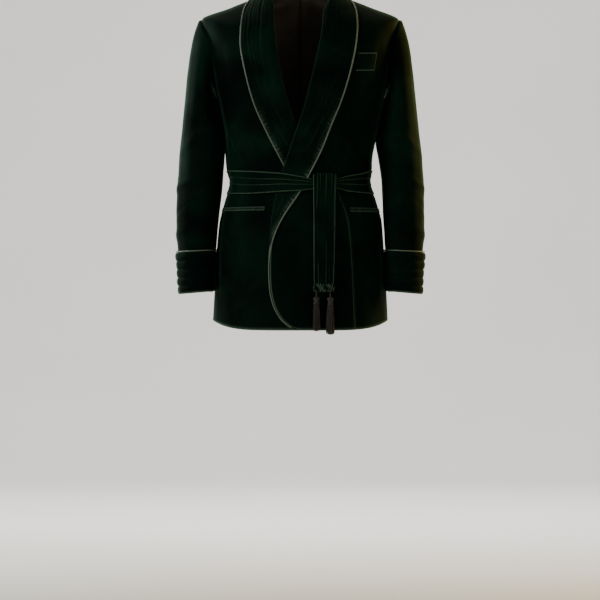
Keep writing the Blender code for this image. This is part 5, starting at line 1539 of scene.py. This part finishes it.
def add_light(name, place, size, power, colour, target=SUBJECT):
    """Add a soft rectangular light that faces its target."""
    data = bpy.data.lights.new(name, "AREA")
    data.shape = "RECTANGLE"
    data.size, data.size_y = size
    data.energy = power
    data.color = colour
    light = bpy.data.objects.new(name, data)
    light.location = place
    light.rotation_euler = (target - Vector(place)).to_track_quat("-Z", "Y").to_euler()
    bpy.context.scene.collection.objects.link(light)


def make_lights():
    """Light the jacket from the front left, with a pale rim on the left and a warm one on the right."""
    add_light("key", (-2.9, -2.1, 0.8), (0.9, 1.5), 60.0, (1.0, 0.98, 0.95))
    add_light("fill", (1.6, -3.4, 0.5), (1.4, 1.4), 11.0, (1.0, 0.92, 0.78))
    add_light("rim_left", (-1.9, 0.9, 0.3), (0.5, 2.0), 45.0, (0.90, 1.0, 0.95))
    add_light("rim_right", (1.8, 0.8, 0.2), (0.5, 2.0), 45.0, (1.0, 0.72, 0.16))
    add_light("side_right", (2.3, -1.3, 0.9), (0.6, 1.2), 9.0, (1.0, 0.86, 0.55))
    add_light("top", (-0.4, 1.5, 2.0), (1.6, 0.5), 28.0, (1.0, 0.94, 0.72))
    add_light("backdrop_light", (0.0, 2.4, 2.6), (6.0, 1.0), 1000.0, (1.0, 0.98, 0.96),
              Vector((0.0, 7.4, -0.9)))
    world = bpy.data.worlds.new("studio")
    world.use_nodes = True
    world.node_tree.nodes["Background"].inputs["Color"].default_value = (0.95, 0.96, 1.0, 1.0)
    world.node_tree.nodes["Background"].inputs["Strength"].default_value = 0.07
    bpy.context.scene.world = world


PHOTO_WIDTH = 1.41
PHOTO_MIDDLE = (-0.001, -0.726)
CAMERA_DISTANCE = 8.5
SUBJECT_DEPTH = -0.03


def make_camera():
    """Look at the jacket level and straight from the front, framed as in the photograph."""
    data = bpy.data.cameras.new("camera")
    data.sensor_width = 36.0
    data.lens = 36.0 * CAMERA_DISTANCE / PHOTO_WIDTH
    data.clip_end = 60.0
    camera = bpy.data.objects.new("camera", data)
    camera.location = (PHOTO_MIDDLE[0], SUBJECT_DEPTH - CAMERA_DISTANCE, PHOTO_MIDDLE[1])
    camera.rotation_euler = (math.radians(90.0), 0.0, 0.0)
    bpy.context.scene.collection.objects.link(camera)
    bpy.context.scene.camera = camera


make_stage()
make_lights()
make_camera()
